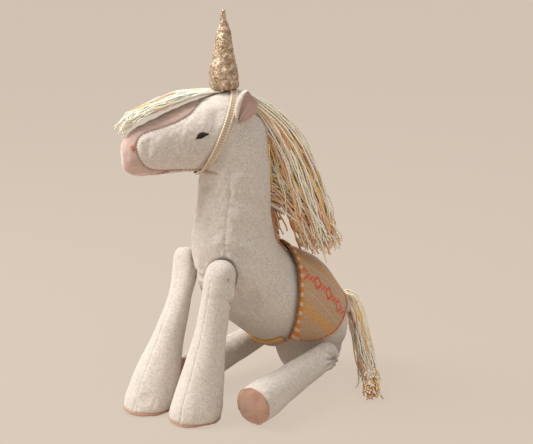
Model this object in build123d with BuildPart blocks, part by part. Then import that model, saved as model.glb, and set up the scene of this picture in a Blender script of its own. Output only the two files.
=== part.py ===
from build123d import *
from functools import cache
from math import cos, radians, sin
import os

# A plush unicorn that sits on its rump, about 39 cm high.
# Millimetres, +Z up. The origin is the middle of the flat seat under the rump,
# the chest faces -Y and the animal's left side is +X.

os.makedirs("parts", exist_ok=True)

# ---------------------------------------------------------------- cloth and clearances
SKIN = 1.2              # linen cover with its seam allowance
FILL_GAP = 0.3          # stuffing to the cover round it
DENT_GAP = 0.5          # leg to the dent in the body that it lies in
TRIM_GAP = 0.15         # stitched trim to the linen under it
SEAT_GAP = 0.3          # soft piece to the soft piece that carries it
CAP_EXTRA = 0.2         # and that much more round the top of the leg
THREAD_R = 1.0          # waxed joint thread
THREAD_FIT = 0.05       # thread to the hole pierced for it
KNOT_R = 2.4            # knot that ends a joint thread
KNOT_GAP = 0.9          # knot to the top of the leg it holds

# ---------------------------------------------------------------- torso and neck
CHEST_Y = -100          # neck axis ahead of the seat, at the top of the chest
CHEST_Z = 178           # top of the chest, where the neck starts
NECK_LEAN = 6           # the neck leans back by this much on its way up
HEAD_Z = 271            # middle of the head at the neck axis
SEAT_R = 38             # round cushion of the rump
SEAT_H = 42             # half height of that cushion
SEAT_SINK = 4           # how far sitting flattens it
TAIL_ROOT_Z = 80        # height of the tail's seam on the rump

# Rings of the neck, from the top down: share of the neck's height, half width, half depth.
NECK = [(1.18, 22, 22), (0.9, 32, 33), (0.61, 34.5, 36), (0.29, 36.5, 38.5)]

# Rings of the trunk, from the chest back to the rump: y, z, tilt of the ring,
# half width, half depth.
TRUNK = [
    (CHEST_Y, CHEST_Z, 3, 40, 42),
    (-97, 150, 15, 43, 46.5),
    (-80.5, 123, 35, 45, 47.5),
    (-54.8, 100.7, 50, 46, 46.5),
    (-27, 82, 56, 47, 44.5),
    (-0.6, 63, 56, 45, 42),
    (18, 47, 56, 38, 39),
    (32, 37, 56, 22, 24),
    (37, 33.5, 56, 9, 10),
]

# ---------------------------------------------------------------- head
HEAD_TURN = 22          # the head looks to the animal's right by this angle
# Rings from the poll to the nose: distance ahead of the neck axis, height over
# HEAD_Z, half width, half height.
SKULL = [
    (-17, 17, 19, 19),
    (0, 12, 28, 31),
    (22, 4, 31, 37),
    (45, -1.5, 29, 36),
    (68, -6.5, 26, 32.5),
    (88, -11.5, 23.5, 28.5),
    (103, -15, 20, 24),
    (112, -16.5, 14, 17),
    (116, -17, 7, 9),
]
# Seam between the linen cheek and the pink gusset, from the brow round the nose to the
# throat: ahead of the neck axis, over HEAD_Z.
CHEEK = [(26, 42), (39, 31.5), (48, 23.5), (63, 15.8), (79, 10.4), (93, 6), (100, 0),
         (102, -8), (98.5, -19), (91, -27), (78, -30.5), (60, -31), (45, -32), (32, -33)]
EYE_S, EYE_Z = 41, 3.9
EYE_LONG, EYE_HIGH = 5.5, 3.4
NOSTRIL_S, NOSTRIL_Z, NOSTRIL_R = 98, -7.5, 2.4
MOUTH_S, MOUTH_Z, MOUTH_R = 77.5, -31, 3.5
TRIM_T = 0.8            # embroidery on the linen
EAR_S = 5               # ear's root ahead of the neck axis
EAR_SIDE = 27           # root to the middle of the head
EAR_Z = 15              # root over HEAD_Z
EAR_LEAN = 18           # the ear leans back by this angle
EAR_H = 34
EAR_R = 12              # half width of the open ear
EAR_CURL = 14           # radius that the ear curls round
EAR_T = 1.1             # linen back of the ear
EAR_LINING_T = 0.8

# ---------------------------------------------------------------- gussets
CHEST_TOP_W = 21        # half width of the chest gusset at the throat
CHEST_LOW_W = 28        # and over the shoulders
CHEST_LOW_Z = 150
CHEST_TIP_Z = 110       # where it ends between the front legs
BELLY_W = 27            # half width of the belly gusset
BELLY_FRONT, BELLY_REAR = -126, 42

# ---------------------------------------------------------------- horn and halter
HORN_S = 11.5           # horn ahead of the neck axis
HORN_H = 76
HORN_R = 14.5           # bulge over the base
HORN_BULGE_H = 9
HORN_WAIST_R = 9.8      # above the bulge
HORN_WAIST_H = 32
HORN_NECK_H = 56        # where the horn starts to run out into its tip
HORN_TIP_R = 2.6
HORN_SKIN = 1           # gilt cloth over the horn's stuffing
HALTER_W = 7
HALTER_T = 1.3
HALTER_TOP_S = 6.5      # braid over the poll, under the horn
HALTER_JAW_S = 37       # braid under the jaw, at the throat

# ---------------------------------------------------------------- legs
SHOULDER = Vector(31, -137, 138)
HOOF_LEFT = Vector(34, -171, 0)
HOOF_RIGHT = Vector(-19, -190, 0)
SHOULDER_R = 16.5
KNEE_R = 16.3
HOOF_R = 27.5
HIP = Vector(52, -19, 38)
SOLE_LEFT = Vector(86, -141, 21.8)
SOLE_RIGHT = Vector(-24, -143, 21.8)
HIP_R = 14.5
THIGH_R = 16
FOOT_R = 21.5
SOLE_T = 3              # cotton sole with its padding
SOLE_ROUND = 2
FRONT_TRAVEL = (-80, 3)
HIND_TRAVEL = (-6, 85)

# ---------------------------------------------------------------- saddle and girth
LINING_T = 0.8
CLOTH_T = 1.2
BINDING_W = 5
BINDING_T = 1.2
PIPING_W = 2.6
TAG_W, TAG_H, TAG_T = 8, 16, 0.8
GIRTH_W = 11.5
GIRTH_T = 1.5
GIRTH_TILT = 52         # plane of the girth, from level
GIRTH_Y, GIRTH_Z = -51, 64
# Outline of the saddle cloth seen from the side, y and z.
SADDLE_FRONT = [(-30, 170), (-50, 112), (-54, 60)]
SADDLE_LOW = [(-54, 60), (-20, 55), (14, 74)]
SADDLE_REAR = (60, 112)
TAG_Y, TAG_Z = 22, 82   # middle of the bare folded tag, on the saddle's rear edge

# ---------------------------------------------------------------- yarn
# Bundles of yarn as rings: place, half width, half thickness.
TAIL_R = 10
TAIL_LIFT = 60          # how far the tail may be lifted, in degrees
TAIL_STEPS = 6
TAIL_HINGE = Axis((0, 38, TAIL_ROOT_Z), (-0.468, -0.884, 0))
# Middle of the tail from its root: x, y, z and its share of the full radius.
TAIL = [(0, 38, TAIL_ROOT_Z, 0.7), (7, 50, 77, 0.8), (17, 56, 58, 1), (33, 50, 35, 1.05),
        (56, 36, 17, 1.05), (87, 12, 11.5, 1.1), (109, -6, 11, 1)]
# Forelock from under the horn: ahead of the neck axis, over HEAD_Z, half width,
# half thickness.
FORELOCK = [(20, 44, 7, 2), (45, 41, 12, 3.2), (68, 33.5, 15, 4), (88, 25.5, 15, 4.5),
            (104, 17.5, 13, 4.5), (115, 7.5, 10, 4)]
FORELOCK_SIDE = -4      # it falls to the animal's right of the blaze
# The fall of the mane, from the poll down: distance behind the neck axis, to the
# left, over HEAD_Z, half width, half thickness.
MANE_FALL = [(13, 5, 42, 10, 6), (32, 12, 21, 15, 11), (49, 18, -13, 19, 16),
             (62, 23, -49, 21, 20), (73, 27, -81, 21, 21), (83, 28, -106, 19, 19)]
MANE_UNDER_T = 9        # inner fringe, off the back of the neck
MANE_UNDER_W = 14
MANE_UNDER_RISE = 26    # its top over HEAD_Z, between the ears


# ================================================================= frames
def ring_plane(y, z, tilt):
    """Plane across the trunk, tilted from level."""
    along = Vector(0, sin(radians(tilt)), -cos(radians(tilt)))
    return Plane(origin=(0, y, z), x_dir=(1, 0, 0), z_dir=along)


NECK_Y = CHEST_Y + NECK_LEAN
FORWARD = Vector(-sin(radians(HEAD_TURN)), -cos(radians(HEAD_TURN)), 0)
LEFTWARD = Vector(cos(radians(HEAD_TURN)), -sin(radians(HEAD_TURN)), 0)
UP = Vector(0, 0, 1)


def on_head(ahead, height, side=0):
    """Point in the head's own frame: ahead of the neck axis, over HEAD_Z, to its left."""
    return Vector(0, NECK_Y, HEAD_Z) + FORWARD * ahead + UP * height + LEFTWARD * side


def head_plane(ahead, height, side=0):
    """Plane across the head, facing forward."""
    return Plane(origin=on_head(ahead, height, side), x_dir=LEFTWARD, z_dir=FORWARD)


def top_plane():
    """Level plane at HEAD_Z in the head's frame: x to its left, y backward."""
    return Plane(origin=on_head(0, 0), x_dir=LEFTWARD, z_dir=UP)


def cheek_plane(side):
    """Upright plane along the head, facing out on one side: x forward or back, y up."""
    out = LEFTWARD * side
    return Plane(origin=on_head(0, 0), x_dir=UP.cross(out), z_dir=out)


# ================================================================= body forms
@cache
def trunk_form(grow):
    """Neck, chest, belly and rump as one solid, grown by a cloth's thickness."""
    with BuildPart() as form:
        neck_h = HEAD_Z - CHEST_Z
        for share, wide, deep in NECK:
            lean = CHEST_Y + NECK_LEAN * min(share, 1)
            with BuildSketch(ring_plane(lean, CHEST_Z + share * neck_h, 0)):
                Ellipse(wide + grow, deep + grow)
        for y, z, tilt, wide, deep in TRUNK:
            with BuildSketch(ring_plane(y, z, tilt)):
                Ellipse(wide + grow, deep + grow)
        loft()
        with BuildSketch(Plane.XZ):
            with BuildLine():
                l1 = EllipticalCenterArc((0, SEAT_H - SEAT_SINK), SEAT_R + grow,
                                         SEAT_H + grow, -90, arc_size=180)
                Line(l1 @ 1, l1 @ 0)
            make_face()
        revolve(axis=Axis.Z)
        split(bisect_by=Plane.XY.offset(-grow), keep=Keep.TOP)
    return form.part


@cache
def skull_form(grow):
    """Head as one solid, grown by a cloth's thickness."""
    with BuildPart() as form:
        for ahead, height, wide, high in SKULL:
            with BuildSketch(head_plane(ahead, height)):
                Ellipse(wide + grow, high + grow)
        loft()
    return form.part


# ================================================================= legs
def leg_axis(top, end):
    return (end - top).normalized()


def sole_plane(top, end, on_floor, lift=0):
    """Plane of a sole, facing up into the leg, lifted into it by this much."""
    if on_floor:
        return Plane.XY.offset(lift)
    inward = leg_axis(top, end) * -1
    return Plane(origin=end + inward * lift, x_dir=(1, 0, 0), z_dir=inward)


def leg_form(top, end, radii, grow, on_floor, lift=0):
    """A leg as a turned solid with a round top, cut off at its sole."""
    top_r, mid_r, end_r = [r + grow for r in radii]
    length = (end - top).length
    side = Plane(origin=top, x_dir=UP.cross(leg_axis(top, end)), z_dir=leg_axis(top, end))
    with BuildPart() as form:
        with BuildSketch(Plane(origin=top, x_dir=side.x_dir, z_dir=side.y_dir)):
            with BuildLine():
                cap = CenterArc((0, 0), top_r, 90, -90)
                skirt = Spline((top_r, 0), (mid_r, -length * 0.36),
                               ((mid_r + end_r) / 2, -length * 0.72),
                               (end_r, -length - end_r / 2),
                               tangents=[(0, -1), (0, -1)])
                toe = Line(skirt @ 1, (0, -length - end_r / 2))
                Line(toe @ 1, cap @ 0)
            make_face()
        revolve(axis=Axis(top, leg_axis(top, end)))
        split(bisect_by=sole_plane(top, end, on_floor, lift - grow), keep=Keep.TOP)
    return form.part


FRONT_RADII = (SHOULDER_R, KNEE_R, HOOF_R)
HIND_RADII = (HIP_R, THIGH_R, FOOT_R)
RIGHT_SHOULDER = Vector(-SHOULDER.X, SHOULDER.Y, SHOULDER.Z)
RIGHT_HIP = Vector(-HIP.X, HIP.Y, HIP.Z)
LEGS = {
    "front_left": (SHOULDER, HOOF_LEFT, FRONT_RADII, True, FRONT_TRAVEL),
    "front_right": (RIGHT_SHOULDER, HOOF_RIGHT, FRONT_RADII, True, FRONT_TRAVEL),
    "hind_left": (HIP, SOLE_LEFT, HIND_RADII, False, HIND_TRAVEL),
    "hind_right": (RIGHT_HIP, SOLE_RIGHT, HIND_RADII, False, HIND_TRAVEL),
}

def leg_sector(top, end, reach, travel):
    """The wedge that a leg's own outline sweeps, turned about its hinge."""
    low, high = travel
    hanging = Vector(0, end.Y - top.Y, end.Z - top.Z)
    length = hanging.length
    slope = (end.X - top.X) / length
    out = 1 if top.X > 0 else -1
    inner, outer = -out * reach, out * reach
    with BuildPart() as sector:
        with BuildSketch(Plane(origin=top, x_dir=(1, 0, 0), z_dir=Vector(1, 0, 0).cross(hanging))):
            with BuildLine():
                Polyline((inner, 0), (slope * length + inner, length),
                         (slope * length + outer, length), (outer, 0), close=True)
            make_face()
        revolve(axis=Axis(top, (1, 0, 0)), revolution_arc=high - low)
    return sector.part.rotate(Axis(top, (1, 0, 0)), low)


def leg_room(leg, grow):
    """All the space that a leg and this much round it need between its limits."""
    top, end, radii, on_floor, travel = LEGS[leg]
    form = leg_form(top, end, radii, grow, on_floor)
    with BuildPart() as room:
        with Locations(top):
            Sphere(radii[0] + grow + CAP_EXTRA)
        for angle in travel:
            add(form.rotate(Axis(top, (1, 0, 0)), angle))
        if not on_floor:
            add(leg_sector(top, end, radii[1] + grow, travel))
    return room.part


def pierced(part):
    """The same part with the two joint threads' holes through it."""
    with BuildPart() as result:
        add(part)
        for joint in (SHOULDER, HIP):
            with BuildSketch(Plane.YZ.offset(-2 * HIP.X)):
                with Locations((joint.Y, joint.Z)):
                    Circle(THREAD_R + THREAD_FIT)
            extrude(amount=4 * HIP.X, mode=Mode.SUBTRACT)
    return result.part


# The leg tops lie in dents of the body; the dents are as deep in the stuffing.
def body_form(grow):
    """Torso and head with the dents of the legs, grown or shrunk by a cloth's thickness."""
    with BuildPart() as form:
        add(trunk_form(grow))
        add(skull_form(grow))
        for leg in LEGS:
            add(leg_room(leg, DENT_GAP - grow), mode=Mode.SUBTRACT)
    return form.part


# ================================================================= gusset outlines
BIG = 400               # reaches past the whole animal


def face_region():
    """Blaze on top, all of the muzzle, and the strip under the jaw."""
    with BuildPart() as region:
        add(skull_form(SKIN))
        with BuildSketch(cheek_plane(1)):
            with BuildLine():
                seam = Spline(*[(-ahead, height) for ahead, height in CHEEK])
                Polyline(seam @ 1, (seam @ 1) - (0, BIG / 4), (BIG / 4, -BIG / 4),
                         (BIG / 4, BIG / 4), (seam @ 0) + (0, BIG / 8), seam @ 0)
            make_face()
        extrude(amount=BIG / 4, both=True, mode=Mode.SUBTRACT)
    return region.part


def chest_region():
    """Gusset down the front of the neck, pointed between the front legs."""
    with BuildPart() as region:
        with BuildSketch(Plane.XZ.offset(-CHEST_Y - NECK_LEAN)):
            with BuildLine():
                near = Line((CHEST_TOP_W, HEAD_Z), (CHEST_LOW_W, CHEST_LOW_Z))
                tip = (0, CHEST_TIP_Z)
                ThreePointArc(near @ 1, (CHEST_LOW_W * 0.6, (CHEST_LOW_Z + CHEST_TIP_Z) / 2), tip)
                ThreePointArc(tip, (-CHEST_LOW_W * 0.6, (CHEST_LOW_Z + CHEST_TIP_Z) / 2),
                              (-CHEST_LOW_W, CHEST_LOW_Z))
                far = Line((-CHEST_LOW_W, CHEST_LOW_Z), (-CHEST_TOP_W, HEAD_Z))
                Line(far @ 1, near @ 0)
            make_face()
        extrude(amount=BIG)
        add(skull_form(0), mode=Mode.SUBTRACT)
    return region.part


def belly_region():
    """Gusset along the belly and under the rump, below the middle of the trunk."""
    middles = [(y, z) for y, z, _, _, _ in TRUNK[2:]]
    with BuildPart() as region:
        with BuildSketch(Plane.XY.offset(-1)):
            with BuildLine():
                mid = (BELLY_FRONT + BELLY_REAR) / 2
                near = ThreePointArc((0, BELLY_FRONT), (BELLY_W, mid), (0, BELLY_REAR))
                ThreePointArc(near @ 1, (-BELLY_W, mid), near @ 0)
            make_face()
        extrude(amount=HEAD_Z)
        with BuildSketch(Plane.YZ.offset(-BIG / 2)):
            with BuildLine():
                Polyline((BELLY_FRONT, CHEST_TIP_Z), *middles, (BELLY_REAR + 9, -2),
                         (BELLY_FRONT, -2), close=True)
            make_face()
        extrude(amount=BIG, mode=Mode.INTERSECT)
    return region.part


def left_region():
    """Everything on the left of the middle seam, which turns with the head."""
    with BuildPart() as region:
        with BuildSketch(Plane.XY.offset(-1)):
            with BuildLine():
                Polyline((0, -BIG), (BIG, -BIG), (BIG, BIG), (0, BIG), close=True)
            make_face()
        extrude(amount=CHEST_Z + 1)
        with BuildSketch(Plane.XY.offset(CHEST_Z)):
            with BuildLine():
                ahead = Vector(0, NECK_Y) + FORWARD * BIG
                Polyline((0, NECK_Y), (ahead.X, ahead.Y), (BIG, ahead.Y), (BIG, BIG),
                         (0, BIG), close=True)
            make_face()
        extrude(amount=BIG)
    return region.part


# ================================================================= trim on the head
def on_skull(region, gap, thick):
    """A cloth of this thickness lying on the head, where the region covers it."""
    with BuildPart() as cloth:
        add(skull_form(gap + thick))
        add(skull_form(gap), mode=Mode.SUBTRACT)
        add(region, mode=Mode.INTERSECT)
    return cloth.part


def eye_region(side):
    with BuildPart() as region:
        with BuildSketch(cheek_plane(side)):
            with Locations((-side * EYE_S, EYE_Z)):
                Ellipse(EYE_LONG, EYE_HIGH)
        extrude(amount=BIG)
    return region.part


def nostril_region(side):
    with BuildPart() as region:
        with BuildSketch(cheek_plane(side)):
            with Locations((-side * NOSTRIL_S, NOSTRIL_Z)):
                Ellipse(NOSTRIL_R * 1.4, NOSTRIL_R)
        extrude(amount=BIG)
    return region.part


def mouth_region(side):
    with BuildPart() as region:
        with BuildSketch(cheek_plane(side)):
            with Locations(Location((-side * MOUTH_S, MOUTH_Z), -side * 40)):
                Rectangle(2 * MOUTH_R, MOUTH_R * 0.7)
        extrude(amount=BIG)
    return region.part


def halter_region(margin=0):
    """Slab across the head from the poll to the throat."""
    top = on_head(HALTER_TOP_S, SKULL[2][3])
    jaw = on_head(HALTER_JAW_S, -SKULL[3][3])
    up = (top - jaw).normalized()
    with BuildPart() as region:
        with BuildSketch(Plane(origin=(top + jaw) * 0.5, x_dir=LEFTWARD, z_dir=LEFTWARD.cross(up))):
            Rectangle(BIG, BIG)
        extrude(amount=HALTER_W / 2 + margin, both=True)
    return region.part


def ear_form(side, inset, thick):
    """Leaf of an ear, narrow at its root, curled out round an upright line."""
    root = on_head(EAR_S, EAR_Z, side * EAR_SIDE)
    rise = UP * cos(radians(EAR_LEAN)) - FORWARD * sin(radians(EAR_LEAN))
    out = LEFTWARD * side
    across = rise.cross(out)
    wide = EAR_R - inset
    with BuildPart() as ear:
        with BuildSketch(Plane(origin=root, x_dir=across, z_dir=across.cross(rise))):
            with BuildLine():
                near = ThreePointArc((wide * 0.25, 0), (wide, EAR_H * 0.62), (0, EAR_H - inset))
                far = ThreePointArc(near @ 1, (-wide, EAR_H * 0.62), (-wide * 0.25, 0))
                Line(far @ 1, near @ 0)
            make_face()
        extrude(amount=2 * EAR_CURL, both=True)
        with BuildSketch(Plane(origin=root + out * EAR_CURL, x_dir=across, z_dir=rise)):
            Circle(EAR_CURL - inset)
            Circle(EAR_CURL - inset - thick, mode=Mode.SUBTRACT)
        extrude(amount=2 * EAR_H, mode=Mode.INTERSECT)
        with BuildSketch(Plane(origin=root, x_dir=across, z_dir=rise)):
            with Locations((0, 0)):
                Rectangle(BIG, 2 * EAR_CURL)
        extrude(amount=2 * EAR_H, mode=Mode.INTERSECT)
        add(skull_form(TRIM_GAP), mode=Mode.SUBTRACT)
        add(on_skull(halter_region(SEAT_GAP), 0, HALTER_T + 2 * SEAT_GAP), mode=Mode.SUBTRACT)
    return ear.part


# ================================================================= horn
def horn_form(grow):
    """Turned horn with a round cushion of a base, a waist and a blunt tip."""
    with BuildPart() as form:
        with BuildSketch(Plane(origin=on_head(HORN_S, HORN_FOOT), x_dir=LEFTWARD,
                               z_dir=FORWARD)):
            with BuildLine():
                base = Line((0, -grow), (HORN_R * 0.6, -grow))
                bulge = Spline(base @ 1, (HORN_R + grow, HORN_BULGE_H),
                               tangents=[(1, 0), (0, 1)])
                side = Spline(bulge @ 1, (HORN_WAIST_R + grow, HORN_WAIST_H),
                              ((HORN_WAIST_R + HORN_TIP_R) / 2 + grow, HORN_NECK_H),
                              (HORN_TIP_R + grow, HORN_H - HORN_TIP_R),
                              tangents=[(0, 1), (0, 1)])
                tip = JernArc(side @ 1, side % 1, HORN_TIP_R + grow, 90)
                Line(tip @ 1, base @ 0)
            make_face()
        revolve(axis=Axis(on_head(HORN_S, HORN_FOOT), UP))
    return form.part


# ================================================================= saddle
def saddle_outline(grow, front=0):
    """Prism of the saddle cloth's outline, seen from the side."""
    with BuildPart() as region:
        with BuildSketch(Plane.YZ.offset(-BIG / 2)):
            with BuildLine():
                shift = Vector(front, 0)
                edge = ThreePointArc(*[Vector(*point) + shift for point in SADDLE_FRONT])
                low = ThreePointArc(edge @ 1, *SADDLE_LOW[1:])
                rear = Line(low @ 1, SADDLE_REAR)
                back = Line(rear @ 1, (SADDLE_REAR[0], SADDLE_FRONT[0][1]))
                Line(back @ 1, edge @ 0)
            make_face()
            if grow:
                offset(amount=grow)
        extrude(amount=BIG)
    return region.part


def on_trunk(region, gap, thick):
    """A cloth of this thickness lying on the trunk, where the region covers it."""
    with BuildPart() as cloth:
        add(trunk_form(gap + thick))
        add(trunk_form(gap), mode=Mode.SUBTRACT)
        add(region, mode=Mode.INTERSECT)
    return cloth.part


def girth_region():
    with BuildPart() as region:
        with BuildSketch(ring_plane(GIRTH_Y, GIRTH_Z, GIRTH_TILT)):
            Rectangle(BIG, BIG)
        extrude(amount=GIRTH_W / 2, both=True)
        add(saddle_outline(PIPING_W + SEAT_GAP), mode=Mode.SUBTRACT)
    return region.part


def tag_region():
    with BuildPart() as region:
        with BuildSketch(Plane.YZ):
            with Locations(Location((TAG_Y, TAG_Z), 45)):
                Rectangle(TAG_H, 2 * TAG_W)
        extrude(amount=BIG)
        add(saddle_outline(PIPING_W + SEAT_GAP), mode=Mode.SUBTRACT)
    return region.part


# ================================================================= yarn
def bundle(rings):
    """A bundle of yarn through flat rings: place, half width, half thickness."""
    places = [place for place, _, _ in rings]
    with BuildPart() as form:
        for i, (place, wide, thick) in enumerate(rings):
            along = places[min(i + 1, len(rings) - 1)] - places[max(i - 1, 0)]
            along = along.normalized()
            level = LEFTWARD if abs(along.Z) < 0.9 else Vector(1, 0, 0)
            level = (level - along * level.dot(along)).normalized()
            with BuildSketch(Plane(origin=place, x_dir=level, z_dir=along)):
                Ellipse(wide, thick)
        loft()
    return form.part


def tail_rings():
    return [(Vector(*place), TAIL_R * share, TAIL_R * share) for *place, share in TAIL]


def forelock_rings():
    return [(on_head(ahead, height, FORELOCK_SIDE), wide, thick)
            for ahead, height, wide, thick in FORELOCK]


def mane_rings():
    return [(Vector(left, NECK_Y + behind, HEAD_Z + height), wide, thick)
            for behind, left, height, wide, thick in MANE_FALL]


def mane_under_region(margin=0):
    """Slab behind the crest, from the top of the chest up to the poll."""
    with BuildPart() as region:
        with BuildSketch(Plane.XY.offset(CHEST_Z)):
            with Locations((0, NECK_Y + BIG / 4)):
                Rectangle(MANE_UNDER_W + 2 * margin, BIG / 2)
        extrude(amount=HEAD_Z - CHEST_Z + MANE_UNDER_RISE)
        add(skull_form(SEAT_GAP), mode=Mode.SUBTRACT)
    return region.part


def thread(joint, top_r):
    """Joint thread through the body and both leg tops, with a knot outside each."""
    reach = joint.X + top_r + KNOT_GAP + KNOT_R
    with BuildPart() as part:
        with BuildSketch(Plane(origin=(0, joint.Y, joint.Z), x_dir=(1, 0, 0), z_dir=(0, -1, 0))):
            Rectangle(2 * reach, 2 * THREAD_R)
            with Locations((-reach, 0), (reach, 0)):
                Circle(KNOT_R)
            with Locations((0, -BIG / 2)):
                Rectangle(BIG, BIG, mode=Mode.SUBTRACT)
        revolve(axis=Axis((0, joint.Y, joint.Z), (1, 0, 0)))
    return part.part


def write(name, part):
    """Label one node's solids and write them."""
    part.label = name
    export_step(part, f"parts/{name}.step")


# ================================================================= body covers
HORN_FOOT = skull_form(0).bounding_box().max.Z - HEAD_Z + HALTER_T + 2 * SEAT_GAP

with BuildPart() as skin:
    add(pierced(body_form(0)))
    add(body_form(-SKIN), mode=Mode.SUBTRACT)

face = face_region()
chest = chest_region()
belly = belly_region()
left = left_region()

with BuildPart() as face_gusset:
    add(skin.part)
    add(face, mode=Mode.INTERSECT)
write("face_gusset", face_gusset.part)

with BuildPart() as chest_gusset:
    add(skin.part)
    add(chest, mode=Mode.INTERSECT)
    add(face, mode=Mode.SUBTRACT)
write("chest_gusset", chest_gusset.part)

with BuildPart() as belly_gusset:
    add(skin.part)
    add(belly, mode=Mode.INTERSECT)
    add(chest, mode=Mode.SUBTRACT)
write("belly_gusset", belly_gusset.part)

with BuildPart() as linen:
    add(skin.part)
    add(face, mode=Mode.SUBTRACT)
    add(chest, mode=Mode.SUBTRACT)
    add(belly, mode=Mode.SUBTRACT)

with BuildPart() as side_left:
    add(linen.part)
    add(left, mode=Mode.INTERSECT)
write("side_left", side_left.part)

with BuildPart() as side_right:
    add(linen.part)
    add(left, mode=Mode.SUBTRACT)
write("side_right", side_right.part)

with BuildPart() as body_stuffing:
    add(pierced(body_form(-SKIN - FILL_GAP)))
write("body_stuffing", body_stuffing.part)

# ================================================================= head trim
with BuildPart() as halter_strap:
    add(on_skull(halter_region(), SEAT_GAP, HALTER_T))
    add(trunk_form(SEAT_GAP), mode=Mode.SUBTRACT)
write("halter_strap", halter_strap.part)

with BuildPart() as mouth_stitches:
    for side in (1, -1):
        add(on_skull(mouth_region(side), TRIM_GAP, TRIM_T))
write("mouth_stitches", mouth_stitches.part)

for word, side in (("left", 1), ("right", -1)):
    with BuildPart() as ear:
        add(ear_form(side, 0, EAR_T))
    write(f"ear_{word}", ear.part)

    with BuildPart() as ear_lining:
        add(ear_form(side, EAR_T + TRIM_GAP, EAR_LINING_T))
    write(f"ear_lining_{word}", ear_lining.part)

    with BuildPart() as eye:
        add(on_skull(eye_region(side), TRIM_GAP, TRIM_T))
    write(f"eye_{word}", eye.part)

    with BuildPart() as nostril:
        add(on_skull(nostril_region(side), TRIM_GAP, TRIM_T))
    write(f"nostril_{word}", nostril.part)

# ================================================================= horn
with BuildPart() as horn_cover:
    add(horn_form(0))
    add(horn_form(-HORN_SKIN), mode=Mode.SUBTRACT)
write("horn_cover", horn_cover.part)

with BuildPart() as horn_stuffing:
    add(horn_form(-HORN_SKIN - FILL_GAP))
write("horn_stuffing", horn_stuffing.part)

# ================================================================= saddle and girth
cloth_gap = SEAT_GAP + LINING_T + TRIM_GAP
binding_gap = cloth_gap + CLOTH_T + TRIM_GAP
outline = saddle_outline(0)

with BuildPart() as saddle_lining:
    add(on_trunk(outline, SEAT_GAP, LINING_T))
write("saddle_lining", saddle_lining.part)

with BuildPart() as saddle_cloth:
    add(on_trunk(outline, cloth_gap, CLOTH_T))
write("saddle_cloth", saddle_cloth.part)

with BuildPart() as saddle_binding:
    add(on_trunk(outline, binding_gap, BINDING_T))
    add(saddle_outline(0, BINDING_W), mode=Mode.SUBTRACT)
write("saddle_binding", saddle_binding.part)

with BuildPart() as saddle_piping:
    add(on_trunk(saddle_outline(PIPING_W), SEAT_GAP, PIPING_W))
    add(saddle_outline(TRIM_GAP), mode=Mode.SUBTRACT)
write("saddle_piping", saddle_piping.part)

with BuildPart() as saddle_tag:
    add(on_trunk(tag_region(), SEAT_GAP, TAG_T))
write("saddle_tag", saddle_tag.part)

with BuildPart() as girth_strap:
    add(on_trunk(girth_region(), SEAT_GAP, GIRTH_T))
write("girth_strap", girth_strap.part)

# ================================================================= legs
for leg, (top, end, radii, on_floor, _) in LEGS.items():
    with BuildPart() as leg_cover:
        add(leg_form(top, end, radii, 0, on_floor, SOLE_T))
        add(leg_form(top, end, radii, -SKIN, on_floor), mode=Mode.SUBTRACT)
    write(f"leg_{leg}_cover", pierced(leg_cover.part))

    with BuildPart() as leg_stuffing:
        add(pierced(leg_form(top, end, radii, -SKIN - FILL_GAP, on_floor, SOLE_T)))
    write(f"leg_{leg}_stuffing", leg_stuffing.part)

    with BuildPart() as leg_sole:
        add(leg_form(top, end, radii, 0, on_floor))
        split(bisect_by=sole_plane(top, end, on_floor, SOLE_T), keep=Keep.BOTTOM)
        rim = leg_sole.faces().sort_by(Axis(end, leg_axis(top, end)))[-1]
        fillet(rim.edges(), SOLE_ROUND)
    write(f"leg_{leg}_sole", leg_sole.part)

with BuildPart() as shoulder_thread:
    add(thread(SHOULDER, SHOULDER_R))
write("shoulder_thread", shoulder_thread.part)

with BuildPart() as hip_thread:
    add(thread(HIP, HIP_R))
write("hip_thread", hip_thread.part)

# ================================================================= mane, forelock and tail
with BuildPart() as mane_under:
    add(on_trunk(mane_under_region(), SEAT_GAP, MANE_UNDER_T))
write("mane_under", mane_under.part)

with BuildPart() as mane_fall:
    add(bundle(mane_rings()))
    add(trunk_form(2 * SEAT_GAP), mode=Mode.SUBTRACT)
    add(on_trunk(mane_under_region(SEAT_GAP), 0, MANE_UNDER_T + 2 * SEAT_GAP),
        mode=Mode.SUBTRACT)
    add(skull_form(SEAT_GAP), mode=Mode.SUBTRACT)
write("mane_fall", mane_fall.part)

with BuildPart() as forelock:
    add(bundle(forelock_rings()))
    add(skull_form(HALTER_T + 2 * SEAT_GAP), mode=Mode.SUBTRACT)
    add(horn_form(SEAT_GAP), mode=Mode.SUBTRACT)
write("forelock", forelock.part)

# The root is cut back from the rump at every step of the tail's lift.
rump = trunk_form(SEAT_GAP)
with BuildPart() as tail_yarn:
    add(bundle(tail_rings()))
    for step in range(TAIL_STEPS + 1):
        turned = rump.rotate(TAIL_HINGE, -TAIL_LIFT * step / TAIL_STEPS)
        add(turned, mode=Mode.SUBTRACT)
write("tail_yarn", tail_yarn.part)
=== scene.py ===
from math import cos, exp, hypot, pi, radians, sin

import bmesh
import bpy
import numpy as np
from mathutils import Matrix, Vector, noise
from mathutils.bvhtree import BVHTree


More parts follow.
